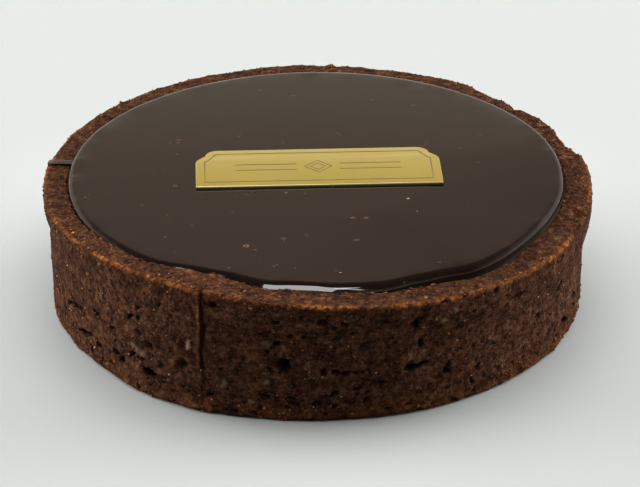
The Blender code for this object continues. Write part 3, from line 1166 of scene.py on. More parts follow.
    def dent_depth(self, points: np.ndarray) -> tuple[np.ndarray, np.ndarray, np.ndarray]:
        """How deep the dents are at each point of the outer wall.

        Args:
            points: Places on the wall.

        Returns:
            The depth in metres, from 0 to 1 how dark the painted shade inside a dent is, and how far the
            point is inside a pale patch.
        """
        azimuth = np.arctan2(points[:, 1], points[:, 0])
        height = points[:, 2]
        ragged = [self.ragged * smooth_noise(points, self.ragged_size, seed) for seed in (31.0, 57.0)]
        depth, inside, patch = (np.zeros(len(points)) for _ in range(3))
        for dent in self.all_dents():
            across = np.radians(degrees_from(azimuth, dent.azimuth)) * self.form.wall_radius
            reach = (0.6 * max(dent.width, dent.tall) + 0.3) * MM
            near = np.flatnonzero((abs(across) < reach) & (abs(height - dent.height * MM) < reach))
            if not len(near):
                continue
            slant = math.radians(dent.slant)
            side = across[near] + ragged[0][near]
            up = height[near] - dent.height * MM + ragged[1][near] * (0.5 if dent.mark is Mark.CRACK else 0.8)
            along = side * math.cos(slant) + up * math.sin(slant)
            over = up * math.cos(slant) - side * math.sin(slant)
            size = 0.5 * MM * (1.0 if dent.mark in (Mark.PATCH, Mark.HOLLOW) else self.hole_scale)
            away = np.hypot(along / (dent.width * size), over / (dent.tall * size))
            if dent.mark is Mark.PATCH:
                patch[near] = np.maximum(patch[near], (1 - blend(away, 0.5, 1.1)) * dent.depth)
                continue
            soft = dent.mark is Mark.HOLLOW
            hole = 1 - blend(away, 0.1 if soft else 0.5, 1.2 if soft else 1.05)
            depth[near] = np.maximum(depth[near], hole * dent.depth * MM)
            # Painted shade inside the dent: soft hollows darken a little, pits and cracks go to near black.
            shade = 0.6 * hole if soft else 1 - blend(away, 0.75, 1.05)
            inside[near] = np.maximum(inside[near], shade * min(1.0, dent.depth / 0.45))
        return depth, inside, patch

    def rim_relief(self, even: np.ndarray, placed: np.ndarray) -> tuple[np.ndarray, np.ndarray]:
        """How far the rim's bites and crumbs raise it.

        Args:
            even: The points of the evenly turned case.
            placed: The same points of the pressed case.

        Returns:
            The rise of each point, and from 0 to 1 how browned it is.
        """
        form = self.form
        azimuth = np.arctan2(placed[:, 1], placed[:, 0])
        radius = np.hypot(placed[:, 0], placed[:, 1])
        on_top = blend(even[:, 2], form.rim_height - 1.2 * MM, form.rim_height - 0.3 * MM)
        rise, browned = np.zeros(len(placed)), np.zeros(len(placed))
        for dent in self.rim_dents:
            across = np.radians(degrees_from(azimuth, dent.azimuth)) * dent.radius * MM
            away = np.hypot(across, radius - dent.radius * MM) / (dent.size * MM)
            share = (1 - blend(away, 0.3, 1.2)) * on_top
            rise += dent.rise * MM * share
            browned = np.maximum(browned, dent.browned * share)
        # Crumbs pushed up along the inner edge stand a little proud where the ganache is highest.
        in_front = blend(-np.sin(azimuth), 0.2, 0.8) * blend(-np.cos(azimuth), -0.55, 0.0)
        even_radius = np.hypot(even[:, 0], even[:, 1])
        from_edge = (even_radius - form.cavity_radius - 0.35 * MM) / (0.55 * MM)
        rise += self.inner_lip * np.exp(-(from_edge**2)) * in_front * on_top
        return rise, browned

    def browned_and_highlit_parts(self, even: np.ndarray, on_wall: np.ndarray, browned: np.ndarray) -> np.ndarray:
        """Where the oven browned the case: some crumbs and the foot, and the rim's outer edge and the seam's
        ridge, which also carry a painted highlight.

        Args:
            even: The points of the evenly turned case.
            on_wall: From 0 to 1, how far each is on the outer wall.
            browned: How browned it is for its crumbs.

        Returns:
            0 to 1 for each point.
        """
        form = self.form
        radius, height = np.hypot(even[:, 0], even[:, 1]), even[:, 2]
        # Browning with a painted highlight along the rim's outer edge, and the same on the seam flap's ridge.
        inside_lip = np.maximum(0.0, form.lip_radius - 0.25 * MM - radius)
        below_lip = np.maximum(0.0, form.rim_height - 0.3 * MM - height)
        from_lip = np.hypot(inside_lip, below_lip) / self.edge_width
        edge = np.exp(-(from_lip**2)) * (radius > form.cavity_radius + 1.5 * MM)
        ridge_line, _ = self.seam_lines(np.arctan2(even[:, 1], even[:, 0]), height)
        foot = 0.4 * (1 - blend(height, 0.8 * MM, 3.6 * MM))
        return np.maximum(np.maximum(edge, browned), np.maximum(0.6 * ridge_line, foot) * on_wall)

    def build(self) -> bpy.types.Object:
        """Builds the case: turned, pressed by hand, then roughened by its crumb and its dents."""
        form = self.form
        shape = turned(self.profile(), self.columns, form.seam_azimuth + 180 / self.columns)
        even = self.narrowed_seam(coordinates(shape))
        radius = np.hypot(even[:, 0], even[:, 1])
        height = even[:, 2]
        placed = self.wandering_seam(form.pressed(even))
        move_points(shape, placed)
        shape.normal_update()
        normals = np.array([vert.normal for vert in shape.verts])

        outermost = blend(radius, form.lip_radius - 1.2 * MM, form.lip_radius - 0.6 * MM)
        on_wall = outermost * (height > 0.3 * MM)
        hidden = (radius < form.cavity_radius + 0.05 * MM) * (1 - blend(height, 14.0 * MM, 16.5 * MM))
        underside = (height < 0.1 * MM) & (radius < form.lip_radius - 0.5 * MM)
        strength = np.where(underside, 0.0, 1 - hidden)

        # The ring pressed the wall smooth; the rim and the foot stayed crumbly.
        on_rim = blend(height, form.rim_height - 1.3 * MM, form.rim_height - 0.4 * MM) * (
            radius > form.cavity_radius - 0.2 * MM
        )
        at_foot = 1 - blend(height, 2.0 * MM, 5.5 * MM)
        loose = np.maximum(self.wall_crumb, np.maximum(0.75 * on_rim, 0.8 * at_foot))
        pebbles = pebble_noise(placed, self.pebble_size, 3.0)
        grains = pebble_noise(placed, self.grain_size, 11.0)
        crumbs = self.crumb * smooth_noise(placed, self.crumb_size, 19.0)
        crumb_relief = crumbs + self.pebble * pebbles + self.grain * grains
        relief = self.lump * smooth_noise(placed, self.lump_size, 5.0) + loose * crumb_relief
        rim_relief, browned = self.rim_relief(even, placed)
        depth, inside, patch = self.dent_depth(placed)
        ridge_line, groove_line = self.seam_lines(np.arctan2(even[:, 1], even[:, 0]), height)
        seam = self.seam_ridge * ridge_line - self.seam_cut * groove_line
        moved = relief * strength + (seam - depth) * on_wall
        placed = placed + normals * moved[:, None]
        placed[:, 2] += rim_relief
        # The underside is level apart from its pores, and nothing reaches below it.
        pores = np.maximum(0.0, -smooth_noise(placed, 1.3 * MM, 71.0) - 0.12) * 0.5 * MM
        placed[:, 2] = np.where(underside, pores, np.maximum(placed[:, 2], 0.0))
        move_points(shape, placed)
        bmesh.ops.recalc_face_normals(shape, faces=shape.faces)

        # Painted shade in the creases between crumbs; with the painted shade of the dents and of the seam's
        # cut it goes into the hollow attribute.
        crease = blend(-(pebbles + grains), 0.15, 0.8) * 0.6 * loose * strength
        piece = add_piece("crust_case", shape, self.finish, 180.0, replaces="crust")
        for name, values in (
            ("hollow", np.maximum(crease, np.maximum(inside, 0.9 * groove_line) * on_wall)),
            ("browning_and_painted_highlight", self.browned_and_highlit_parts(even, on_wall, browned)),
            ("rim", on_rim),
            ("patch", patch * on_wall),
        ):
            attribute = piece.data.attributes.new(name, "FLOAT", "POINT")
            attribute.data.foreach_set("value", values.astype(np.float32))
        return piece


@dataclass
class CaseGrains:
    """Loose grains that stick to the case: on the wall, on the rim and along the foot."""

    case: bpy.types.Object
    form: CaseForm = field(default_factory=CaseForm)
    finish: Finish = field(default_factory=LooseCrumb)

    def scattered(
        self,
        name: str,
        count: int,
        seed: int,
        sizes: tuple[float, float],
        tones: tuple[float, float],
        wanted: Callable[[Vector], bool],
    ) -> bpy.types.Object:
        """Sets grains on random points of the case.

        Args:
            name: The piece's name.
            count: Number of grains.
            seed: Seed of the random draws.
            sizes: Smallest and largest radius of a grain.
            tones: Darkest and palest tone, from 0 to 1.
            wanted: Whether a grain may sit at a place.

        Returns:
            The piece that holds them all.
        """
        rng = random.Random(seed)
        verts = [vert for vert in self.case.data.vertices if wanted(vert.co)]
        shape = bmesh.new()
        tone_layer = shape.verts.layers.float.new("tone")
        for vert in rng.sample(verts, min(count, len(verts))):
            size = sizes[0] + (sizes[1] - sizes[0]) * rng.random() ** 2.2
            stretch = Vector((rng.uniform(0.8, 1.5), rng.uniform(0.7, 1.1), rng.uniform(0.5, 0.8)))
            turn = vert.normal.to_track_quat("Z", "X").to_matrix().to_4x4()
            spin = Matrix.Rotation(rng.uniform(0, math.tau), 4, "Z")
            place = Matrix.Translation(vert.co + vert.normal * size * 0.15)
            matrix = place @ turn @ spin @ Matrix.Diagonal(stretch).to_4x4()
            made = bmesh.ops.create_icosphere(shape, subdivisions=1, radius=size, matrix=matrix)["verts"]
            tone = tones[0] + (tones[1] - tones[0]) * rng.random() ** 1.5
            for point in made:
                point.co += Vector(rng.uniform(-1, 1) for _ in range(3)) * size * 0.22
                point[tone_layer] = tone
        for point in shape.verts:
            point.co.z = max(point.co.z, 0.0)
        bmesh.ops.recalc_face_normals(shape, faces=shape.faces)
        return add_piece(name, shape, self.finish, 50.0)

    def on_wall(self, place: Vector) -> bool:
        """Whether a place is on the outer wall."""
        return math.hypot(place.x, place.y) > self.form.wall_radius - 0.8 * MM and place.z < 17.3 * MM

    def on_rim(self, place: Vector) -> bool:
        """Whether a place is on the rim."""
        return place.z > 17.3 * MM and math.hypot(place.x, place.y) > self.form.cavity_radius + 0.2 * MM

    def on_edge(self, place: Vector) -> bool:
        """Whether a place is on the rim's outer edge."""
        return place.z > 17.3 * MM and math.hypot(place.x, place.y) > self.form.lip_radius - 1.3 * MM

    def on_inner_edge(self, place: Vector) -> bool:
        """Whether a place is on the rim's inner edge, beside the ganache."""
        even = self.form.cavity_radius + float(self.form.cavity_unevenness(math.atan2(place.y, place.x)))
        return place.z > 17.7 * MM and abs(math.hypot(place.x, place.y) - even - 0.1 * MM) < 0.35 * MM

    def on_foot(self, place: Vector) -> bool:
        """Whether a place is in the crumbly band along the foot."""
        outside = math.hypot(place.x, place.y) > self.form.wall_radius - 1.2 * MM
        return outside and 0.2 * MM < place.z < 3.0 * MM

    def build(self) -> list[bpy.types.Object]:
        """Builds each kind of grain."""
        return [
            self.scattered("wall_grains", 1500, 101, (0.06 * MM, 0.17 * MM), (0.15, 0.95), self.on_wall),
            self.scattered("rim_crumbs", 1300, 102, (0.08 * MM, 0.24 * MM), (0.15, 0.65), self.on_rim),
            self.scattered("rim_edge_crumbs", 260, 103, (0.08 * MM, 0.26 * MM), (0.3, 0.85), self.on_edge),
            self.scattered("inner_crumbs", 700, 105, (0.10 * MM, 0.30 * MM), (0.1, 0.6), self.on_inner_edge),
            self.scattered("foot_crumbs", 800, 104, (0.08 * MM, 0.25 * MM), (0.1, 0.8), self.on_foot),
        ]


# ---------------------------------------------------------------- the ganache


class Flaw(Enum):
    """What marks the ganache's surface."""

    PINHOLE = "pinhole"
    BUMP = "bump"
    SPECK = "speck"


@dataclass(frozen=True)
class SurfaceMark:
    """One mark on the ganache: its kind, its place and its radius in millimetres."""

    flaw: Flaw
    x: float
    y: float
    radius: float
    tone: float = 0.5


@dataclass
class Filling:
    """The poured ganache, nearly level, with a rounded shoulder, and the marks on it."""

    form: CaseForm = field(default_factory=CaseForm)
    finish: Finish = field(default_factory=PouredGanache)
    mark_finish: Finish = field(default_factory=GanacheBlemish)
    crumb_finish: Finish = field(default_factory=LooseCrumb)
    columns: int = 480
    level: float = 19.55 * MM
    dome: float = 0.1 * MM
    crack: float = 0.05 * MM
    shoulder_width: float = 2.2 * MM
    shoulder_height: float = 1.25 * MM
    side_share: float = 0.45
    front_share: float = 0.74
    sag_depth: float = 0.65 * MM
    sag_azimuth: float = -42.0
    sag_half_width: float = 60.0
    sag_start: float = 16.0 * MM
    shoulder_rows: int = 18
    flat_rows: int = 24
    ripple: float = 0.05 * MM
    marks: tuple[SurfaceMark, ...] = (
        SurfaceMark(Flaw.PINHOLE, -21.0, 9.4, 0.24),
        SurfaceMark(Flaw.PINHOLE, -22.2, 9.5, 0.16),
        SurfaceMark(Flaw.PINHOLE, -11.9, 11.5, 0.2),
        SurfaceMark(Flaw.PINHOLE, 3.4, 12.1, 0.22),
        SurfaceMark(Flaw.PINHOLE, -20.8, -5.2, 0.26),
        SurfaceMark(Flaw.PINHOLE, -11.8, -8.8, 0.1),
        SurfaceMark(Flaw.PINHOLE, 7.3, -6.9, 0.1),
        SurfaceMark(Flaw.PINHOLE, -10.1, -24.2, 0.34, 0.9),
        SurfaceMark(Flaw.BUMP, -10.3, -8.2, 0.3, 0.5),
        SurfaceMark(Flaw.BUMP, -4.6, -7.5, 0.38, 0.8),
        SurfaceMark(Flaw.BUMP, -1.8, -7.8, 0.3, 0.5),
        SurfaceMark(Flaw.BUMP, -1.7, -20.9, 0.24, 0.7),
        SurfaceMark(Flaw.BUMP, -8.8, -25.4, 0.25, 0.7),
        SurfaceMark(Flaw.BUMP, -4.8, -22.1, 0.5, 0.35),
        SurfaceMark(Flaw.BUMP, 5.4, -22.4, 0.5, 0.3),
        SurfaceMark(Flaw.BUMP, 15.2, -19.3, 0.25, 0.6),
        SurfaceMark(Flaw.BUMP, 16.9, -28.2, 0.25, 0.6),
        SurfaceMark(Flaw.BUMP, 14.8, 22.6, 0.4, 0.4),
        SurfaceMark(Flaw.BUMP, 24.6, 12.1, 0.25, 0.5),
        SurfaceMark(Flaw.BUMP, 23.8, 2.8, 0.22, 0.7),
        SurfaceMark(Flaw.BUMP, 22.2, 0.7, 0.22, 0.6),
        SurfaceMark(Flaw.BUMP, 27.8, 1.7, 0.22, 0.7),
        SurfaceMark(Flaw.BUMP, 33.5, 0.4, 0.22, 0.7),
        SurfaceMark(Flaw.BUMP, 28.1, -5.6, 0.2, 0.9),
        SurfaceMark(Flaw.BUMP, 26.4, -7.6, 0.3, 0.8),
        SurfaceMark(Flaw.BUMP, 22.9, -19.4, 0.22, 0.8),
        SurfaceMark(Flaw.BUMP, 28.0, -17.5, 0.22, 0.8),
        SurfaceMark(Flaw.BUMP, 21.1, 7.6, 0.2, 0.5),
        SurfaceMark(Flaw.BUMP, 21.7, -10.2, 0.25, 0.5),
        SurfaceMark(Flaw.BUMP, -25.3, -11.4, 0.22, 0.7),
        SurfaceMark(Flaw.BUMP, -21.6, -14.6, 0.22, 0.6),
        SurfaceMark(Flaw.BUMP, -21.6, -21.4, 0.25, 0.8),
        SurfaceMark(Flaw.BUMP, -12.2, -13.9, 0.22, 0.5),
        SurfaceMark(Flaw.BUMP, -17.9, -17.7, 0.22, 0.5),
        SurfaceMark(Flaw.BUMP, -29.1, -17.1, 0.22, 0.6),
        SurfaceMark(Flaw.BUMP, -30.8, -6.8, 0.22, 0.5),
        SurfaceMark(Flaw.BUMP, -20.0, -26.0, 0.25, 0.4),
        SurfaceMark(Flaw.BUMP, 5.0, -15.6, 0.42, 0.75),
        SurfaceMark(Flaw.BUMP, 6.9, -15.6, 0.42, 0.65),
        SurfaceMark(Flaw.BUMP, -5.2, 9.4, 0.3, 0.5),
        SurfaceMark(Flaw.BUMP, 8.5, 24.8, 0.4, 0.45),
        SurfaceMark(Flaw.BUMP, -3.8, 26.3, 0.4, 0.4),
        SurfaceMark(Flaw.BUMP, -20.9, 10.2, 0.5, 0.25),
        SurfaceMark(Flaw.BUMP, -9.5, -7.0, 0.7, 0.12),
        SurfaceMark(Flaw.SPECK, 13.1, -9.5, 0.13, 1.0),
        SurfaceMark(Flaw.SPECK, 14.3, -13.4, 0.08, 0.9),
        SurfaceMark(Flaw.SPECK, 3.2, -32.0, 0.14, 0.8),
        SurfaceMark(Flaw.SPECK, -12.3, -30.8, 0.14, 0.6),
        SurfaceMark(Flaw.SPECK, -33.2, -8.1, 0.12, 0.5),
        SurfaceMark(Flaw.SPECK, -33.7, -8.9, 0.12, 0.5),
    )
    random_bumps: int = 150

    def surface(self, x: float, y: float) -> float:
        """Height of the top surface at a place inside the shoulder."""
        edge = self.form.cavity_radius - self.shoulder_width
        radius = math.hypot(x, y)
        sag = float(self.sag(np.array([math.atan2(y, x)]), np.array([radius]))[0])
        return self.level + self.dome * max(0.0, 1 - (radius / edge) ** 2) - sag

    def sag(self, azimuth: np.ndarray, radius: np.ndarray) -> np.ndarray:
        """How far the top lies below its level, which it does a little at the front right.

        Args:
            azimuth: Azimuths of the points, in radians.
            radius: Their distances from the middle.

        Returns:
            One depth for each point.
        """
        outward = np.maximum(0.0, (radius - self.sag_start) / (self.form.cavity_radius - self.sag_start))
        deepest = self.form.dents(azimuth, [(self.sag_azimuth, self.sag_half_width, self.sag_depth)])
        return deepest * outward**1.3

    def profile(self) -> Profile:
        """The ganache's outline: its floor from the middle, up its side and over to the middle of its top."""
        form = self.form
        edge = form.cavity_radius - self.crack
        start = edge - self.shoulder_width
        into_wall = form.cavity_radius + 0.12 * MM
        outline: Profile = [
            (0.0, form.base_thickness),
            (form.cavity_radius - 2 * form.cavity_taper, form.base_thickness),
            (form.cavity_radius - form.cavity_taper / 2 + 0.1 * MM, form.base_thickness + form.cavity_taper),
            (into_wall, 15.4 * MM),
            (edge + 0.04 * MM, 16.6 * MM),
        ]
        for step in range(self.shoulder_rows):
            turn = math.pi / 2 * step / self.shoulder_rows
            height = self.level - self.shoulder_height * (1 - math.sin(turn))
            outline.append((start + self.shoulder_width * math.cos(turn), height))
        for step in range(self.flat_rows):
            radius = start * (1 - step / self.flat_rows)
            outline.append((radius, self.level + self.dome * (1 - (radius / start) ** 2)))
        outline.append((0.0, self.level + self.dome))
        return outline

    def pour(self) -> bpy.types.Object:
        """Builds the ganache, with the ripples that it has where it meets the case."""
        shape = turned(self.profile(), self.columns)
        places = coordinates(shape)
        azimuth = np.arctan2(places[:, 1], places[:, 0])
        radius = np.hypot(places[:, 0], places[:, 1])
        # The shoulder is broadest at the back, and narrowest at the sides.
        edge = self.form.cavity_radius - self.crack
        end_share = np.where(azimuth > 0, 1.0, self.front_share)
        share = self.side_share + (end_share - self.side_share) * np.sin(azimuth) ** 2
        start = edge - self.shoulder_width * share
        narrowed = np.where(
            radius > edge - self.shoulder_width,
            edge - (edge - radius) * share,
            radius * start / (edge - self.shoulder_width),
        )
        lowest = self.level - self.shoulder_height - 0.001 * MM
        upper = (places[:, 2] > lowest) & (radius > 0) & (radius <= edge)
        places[:, :2] *= np.where(upper, narrowed / np.maximum(radius, 0.01 * MM), 1.0)[:, None]
        places[:, 2] -= np.where(upper, self.sag(azimuth, radius), 0.0)
        places[:, :2] *= (1 + self.form.cavity_unevenness(azimuth) / self.form.cavity_radius)[:, None]
        near_edge = blend(radius, 33.0 * MM, 35.5 * MM) * (places[:, 2] > 17.0 * MM)
        ripples = smooth_noise(places, 3.4 * MM, 41.0) + 0.5 * smooth_noise(places, 1.5 * MM, 43.0)
        places[:, 2] += self.ripple * ripples * near_edge
        move_points(shape, places)
        return add_piece("ganache_fill", shape, self.finish, 180.0, replaces="ganache")

    def pinholes(self) -> bpy.types.Object:
        """Builds the burst bubbles: a low ring round a dark, deep middle."""
        shape = bmesh.new()
        tone_layer = shape.verts.layers.float.new("tone")
        for mark in self.marks:
            if mark.flaw is not Flaw.PINHOLE:
                continue
            ring, height = mark.radius * MM, self.surface(mark.x * MM, mark.y * MM)
            start = Vector((mark.x * MM + ring, mark.y * MM, height))
            tube = bmesh.ops.create_circle(shape, segments=6, radius=ring * 0.42)["verts"]
            flatten = Matrix.Translation(start) @ Matrix.Rotation(math.pi / 2, 4, "X")
            flatten = flatten @ Matrix.Diagonal((1.0, 0.3, 1.0, 1.0))
            bmesh.ops.transform(shape, matrix=flatten, verts=tube)
            edges = list({edge for vert in tube for edge in vert.link_edges})
            bmesh.ops.spin(
                shape,
                geom=tube + edges,
                cent=(mark.x * MM, mark.y * MM, height),
                axis=(0, 0, 1),
                angle=math.tau,
                steps=14,
                use_merge=True,
            )
            for vert in shape.verts:
                if math.hypot(vert.co.x - mark.x * MM, vert.co.y - mark.y * MM) < 2.0 * ring:
                    vert[tone_layer] = mark.tone
        bmesh.ops.remove_doubles(shape, verts=shape.verts, dist=0.001 * MM)
        bmesh.ops.recalc_face_normals(shape, faces=shape.faces)
        return add_piece("ganache_pinholes", shape, self.mark_finish, 60.0)

    def domes(self) -> bpy.types.Object:
        """Builds the low bumps left by bubbles under the surface."""
        shape = bmesh.new()
        tone_layer = shape.verts.layers.float.new("tone")
        rng = random.Random(23)
        marks = [mark for mark in self.marks if mark.flaw is Flaw.BUMP]
        for _ in range(self.random_bumps):
            radius, azimuth = 34.0 * math.sqrt(rng.random()), rng.uniform(0, math.tau)
            x, y = radius * math.cos(azimuth), radius * math.sin(azimuth)
            size = 0.08 + 0.14 * rng.random() ** 2
            marks.append(SurfaceMark(Flaw.BUMP, x, y, size, rng.uniform(0.1, 0.75)))
        for mark in marks:
            x, y, radius = mark.x * MM, mark.y * MM, mark.radius * MM
            stretch = Matrix.Diagonal((rng.uniform(0.9, 1.3), rng.uniform(0.8, 1.0), 0.035, 1.0))
            centre = Vector((x, y, self.surface(x, y)))
            place = Matrix.Translation(centre) @ stretch
            made = bmesh.ops.create_icosphere(shape, subdivisions=2, radius=radius, matrix=place)["verts"]
            for vert in made:
                share = (vert.co.xy - centre.xy).length / radius
                vert[tone_layer] = mark.tone * max(0.0, 1 - share * share)
        return add_piece("ganache_bubbles", shape, self.mark_finish, 180.0)

    def specks(self) -> bpy.types.Object:
        """Builds the few pale specks of crumb and sugar that fell on the ganache."""
        shape = bmesh.new()
        tone_layer = shape.verts.layers.float.new("tone")
        rng = random.Random(29)
        for mark in self.marks:
            if mark.flaw is not Flaw.SPECK:
                continue
            x, y = mark.x * MM, mark.y * MM
            place = Matrix.Translation((x, y, self.surface(x, y) + 0.03 * MM))
            turn = Matrix.Rotation(rng.uniform(0, math.tau), 4, "Z") @ Matrix.Diagonal((2.0, 0.6, 0.6, 1.0))
            radius = mark.radius * MM
            made = bmesh.ops.create_icosphere(shape, subdivisions=1, radius=radius, matrix=place @ turn)
            for vert in made["verts"]:
                vert.co += Vector(rng.uniform(-1, 1) for _ in range(3)) * radius * 0.15
                vert[tone_layer] = mark.tone
        return add_piece("ganache_specks", shape, self.crumb_finish, 60.0)

    def build(self) -> list[bpy.types.Object]:
        """Builds the ganache and what is on it."""
        return [self.pour(), self.pinholes(), self.domes(), self.specks()]


# ---------------------------------------------------------------- the card


@dataclass
class Card:
    """The die-cut card: gold foil on black board, with a plain printed border and a small lozenge."""

    length: float = 36.2 * MM
    depth: float = 12.0 * MM
    corner_radius: float = 1.9 * MM
    corner_width: float = 3.3 * MM
    corner_depth: float = 4.1 * MM
    notch_turns: tuple[float, float] = (76.0, -11.0)
    arc_steps: int = 8
    turn: float = 2.5
    bottom: float = 19.63 * MM
    board_thickness: float = 0.24 * MM
    foil_thickness: float = 0.26 * MM
    foil_rounding: float = 0.2 * MM
    line_width: float = 0.16 * MM
    ink_thickness: float = 0.02 * MM
    border_inset: float = 1.35 * MM
    rule_start: float = 3.2 * MM
    rule_end: float = 12.2 * MM
    rule_offset: float = 0.9 * MM
    lozenge_sizes: tuple[float, ...] = (2.0 * MM, 1.1 * MM)
    foil: Finish = field(default_factory=GoldFoil)
    board: Finish = field(default_factory=DyedBoard)
    ink: Finish = field(default_factory=PrintedInk)

    def corner(self, inset: float) -> Profile:
        """The right back corner: two round shoulders, one behind the other, that meet in a notch.

        Args:
            inset: How far the outline lies inside the card's edge.

        Returns:
            The corner's points, from the right side to the back.
        """
        outer = (self.length / 2 - self.corner_radius, self.depth / 2 - self.corner_depth)
        inner = (self.length / 2 - self.corner_width, self.depth / 2 - self.corner_radius)
        radius = self.corner_radius - inset
        points: Profile = []
        for centre, first, last in ((outer, 0.0, self.notch_turns[0]), (inner, self.notch_turns[1], 90.0)):
            for step in range(self.arc_steps + 1):
                turn = math.radians(first + (last - first) * step / self.arc_steps)
                points.append((centre[0] + radius * math.cos(turn), centre[1] + radius * math.sin(turn)))
        return points

    def outline(self, inset: float = 0.0) -> Profile:
        """The card's whole outline, counterclockwise, drawn in by inset."""
        front = (self.length / 2 - inset, -self.depth / 2 + inset)
        right = [front] + self.corner(inset)
        return right + [(-x, y) for x, y in reversed(right)]

    def placed(self, shape: bmesh.types.BMesh, height: float) -> None:
        """Puts a shape drawn on the card's own plane where the card lies."""
        low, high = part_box("label_card")
        centre = (low + high) / 2
        place = Matrix.Translation((centre.x, centre.y, height))
        turn = Matrix.Rotation(math.radians(self.turn), 4, "Z")
        bmesh.ops.transform(shape, matrix=place @ turn, verts=shape.verts)

    def plate(self, thickness: float, rounding: float, segments: int) -> bmesh.types.BMesh:
        """A plate of the card's outline.

        Args:
            thickness: Its thickness.
            rounding: Rounding of its top edge.
            segments: Steps of that rounding.

        Returns:
            The plate, standing on the plane.
        """
        shape = bmesh.new()
        face = shape.faces.new([shape.verts.new((x, y, 0.0)) for x, y in self.outline()])
        raised = bmesh.ops.extrude_face_region(shape, geom=[face])["geom"]
        top = [item for item in raised if isinstance(item, bmesh.types.BMVert)]
        bmesh.ops.translate(shape, verts=top, vec=(0, 0, thickness))
        rims = [edge for edge in shape.edges if all(vert in top for vert in edge.verts)]
        bmesh.ops.bevel(
            shape, geom=rims, offset=rounding, segments=segments, profile=0.5, affect="EDGES", material=-1
        )
        bmesh.ops.recalc_face_normals(shape, faces=shape.faces)
        return shape

    def strip(self, shape: bmesh.types.BMesh, points: Profile, closed: bool) -> None:
        """Draws a thin raised line of ink along some points.

        Args:
            shape: The shape that it is added to.
            points: Where it runs.
            closed: Whether it joins up with its start.
        """
        half = self.line_width / 2
        count = len(points)
        pairs = []
        for index, (x, y) in enumerate(points):
            before = points[(index - 1) % count] if closed or index else (x, y)
            after = points[(index + 1) % count] if closed or index < count - 1 else (x, y)
            along = Vector((after[0] - before[0], after[1] - before[1])).normalized()
            side = Vector((-along.y, along.x)) * half
            left = shape.verts.new((x + side.x, y + side.y, 0))
            right = shape.verts.new((x - side.x, y - side.y, 0))
            pairs.append((left, right))
        following = pairs[1:] + pairs[:1] if closed else pairs[1:]
        for (left, right), (next_left, next_right) in zip(pairs, following):
            shape.faces.new((left, right, next_right, next_left))

    def printing(self) -> bmesh.types.BMesh:
        """A border that follows the edge, and two thin rules on either side of a lozenge."""
        shape = bmesh.new()
        self.strip(shape, self.outline(self.border_inset), closed=True)
        for side in (-1, 1):
            for y in (self.rule_offset, -self.rule_offset):
                self.strip(shape, [(side * self.rule_start, y), (side * self.rule_end, y)], closed=False)
        for size in self.lozenge_sizes:
            self.strip(shape, [(size, 0.0), (0.0, size), (-size, 0.0), (0.0, -size)], closed=True)
        raised = bmesh.ops.extrude_face_region(shape, geom=shape.faces[:])["geom"]
        top = [item for item in raised if isinstance(item, bmesh.types.BMVert)]
        bmesh.ops.translate(shape, verts=top, vec=(0, 0, self.ink_thickness))
        bmesh.ops.recalc_face_normals(shape, faces=shape.faces)
        return shape

    def build(self) -> list[bpy.types.Object]:
        """Builds the board, the foil on it and the printing on the foil."""
        board = self.plate(self.board_thickness, 0.03 * MM, 1)
        self.placed(board, self.bottom)
        foil = self.plate(self.foil_thickness, self.foil_rounding, 4)
        self.placed(foil, self.bottom + self.board_thickness)
        print_shape = self.printing()
        self.placed(print_shape, self.bottom + self.board_thickness + self.foil_thickness)
        return [
            add_piece("card_board", board, self.board, 40.0, replaces="label_card"),
            add_piece("card_foil", foil, self.foil, 40.0),
            add_piece("card_printing", print_shape, self.ink, 40.0),
        ]


# ---------------------------------------------------------------- the sliver


@dataclass
class Sliver:
    """The sliver of dark chocolate that lies across the rim, with snapped ends."""

    form: CaseForm = field(default_factory=CaseForm)
    finish: Finish = field(default_factory=SnappedChocolate)
    azimuth: float = 173.4
    radius: float = 38.5 * MM
    length: float = 3.8 * MM
    width: float = 1.15 * MM
    thickness: float = 0.55 * MM
    tilt: float = 3.0

    def build(self) -> bpy.types.Object:
        """Builds the sliver from a block, with rounded edges and ragged ends."""
        shape = bmesh.new()
        bmesh.ops.create_cube(shape, size=1.0)
        bmesh.ops.scale(shape, verts=shape.verts, vec=(self.length, self.width, self.thickness))
        bmesh.ops.bevel(
            shape, geom=shape.edges[:], offset=0.12 * MM, segments=2, profile=0.5, affect="EDGES", material=-1
        )
        bmesh.ops.subdivide_edges(shape, edges=shape.edges[:], cuts=3, use_grid_fill=True)
        layer = shape.verts.layers.float.new("broken")
        for vert in shape.verts:
            end = blend(abs(vert.co.x), self.length * 0.38, self.length * 0.5)
            ragged = noise.noise(Vector(vert.co) / (0.45 * MM)) * 0.16 * MM
            swell = noise.noise(Vector(vert.co) / (1.3 * MM) + Vector((4.0, 0.0, 0.0))) * 0.10 * MM
            vert.co.x += math.copysign(ragged * end, vert.co.x)
            vert.co.y += swell
            vert.co.z += 0.5 * swell + 0.3 * ragged * end
            vert[layer] = float(end * (vert.co.x > 0))
        azimuth = math.radians(self.azimuth)
        rim = self.form.rim_height + float(self.form.rim_rise(azimuth))
        x, y = self.radius * math.cos(azimuth), self.radius * math.sin(azimuth)
        place = Matrix.Translation((x, y, rim + self.thickness / 2 + 0.02 * MM))
        turn = Matrix.Rotation(azimuth, 4, "Z") @ Matrix.Rotation(math.radians(self.tilt), 4, "Y")
        bmesh.ops.transform(shape, matrix=place @ turn, verts=shape.verts)
        bmesh.ops.recalc_face_normals(shape, faces=shape.faces)
        return add_piece("sliver", shape, self.finish, 50.0, replaces="chocolate_sliver")


# ---------------------------------------------------------------- the studio


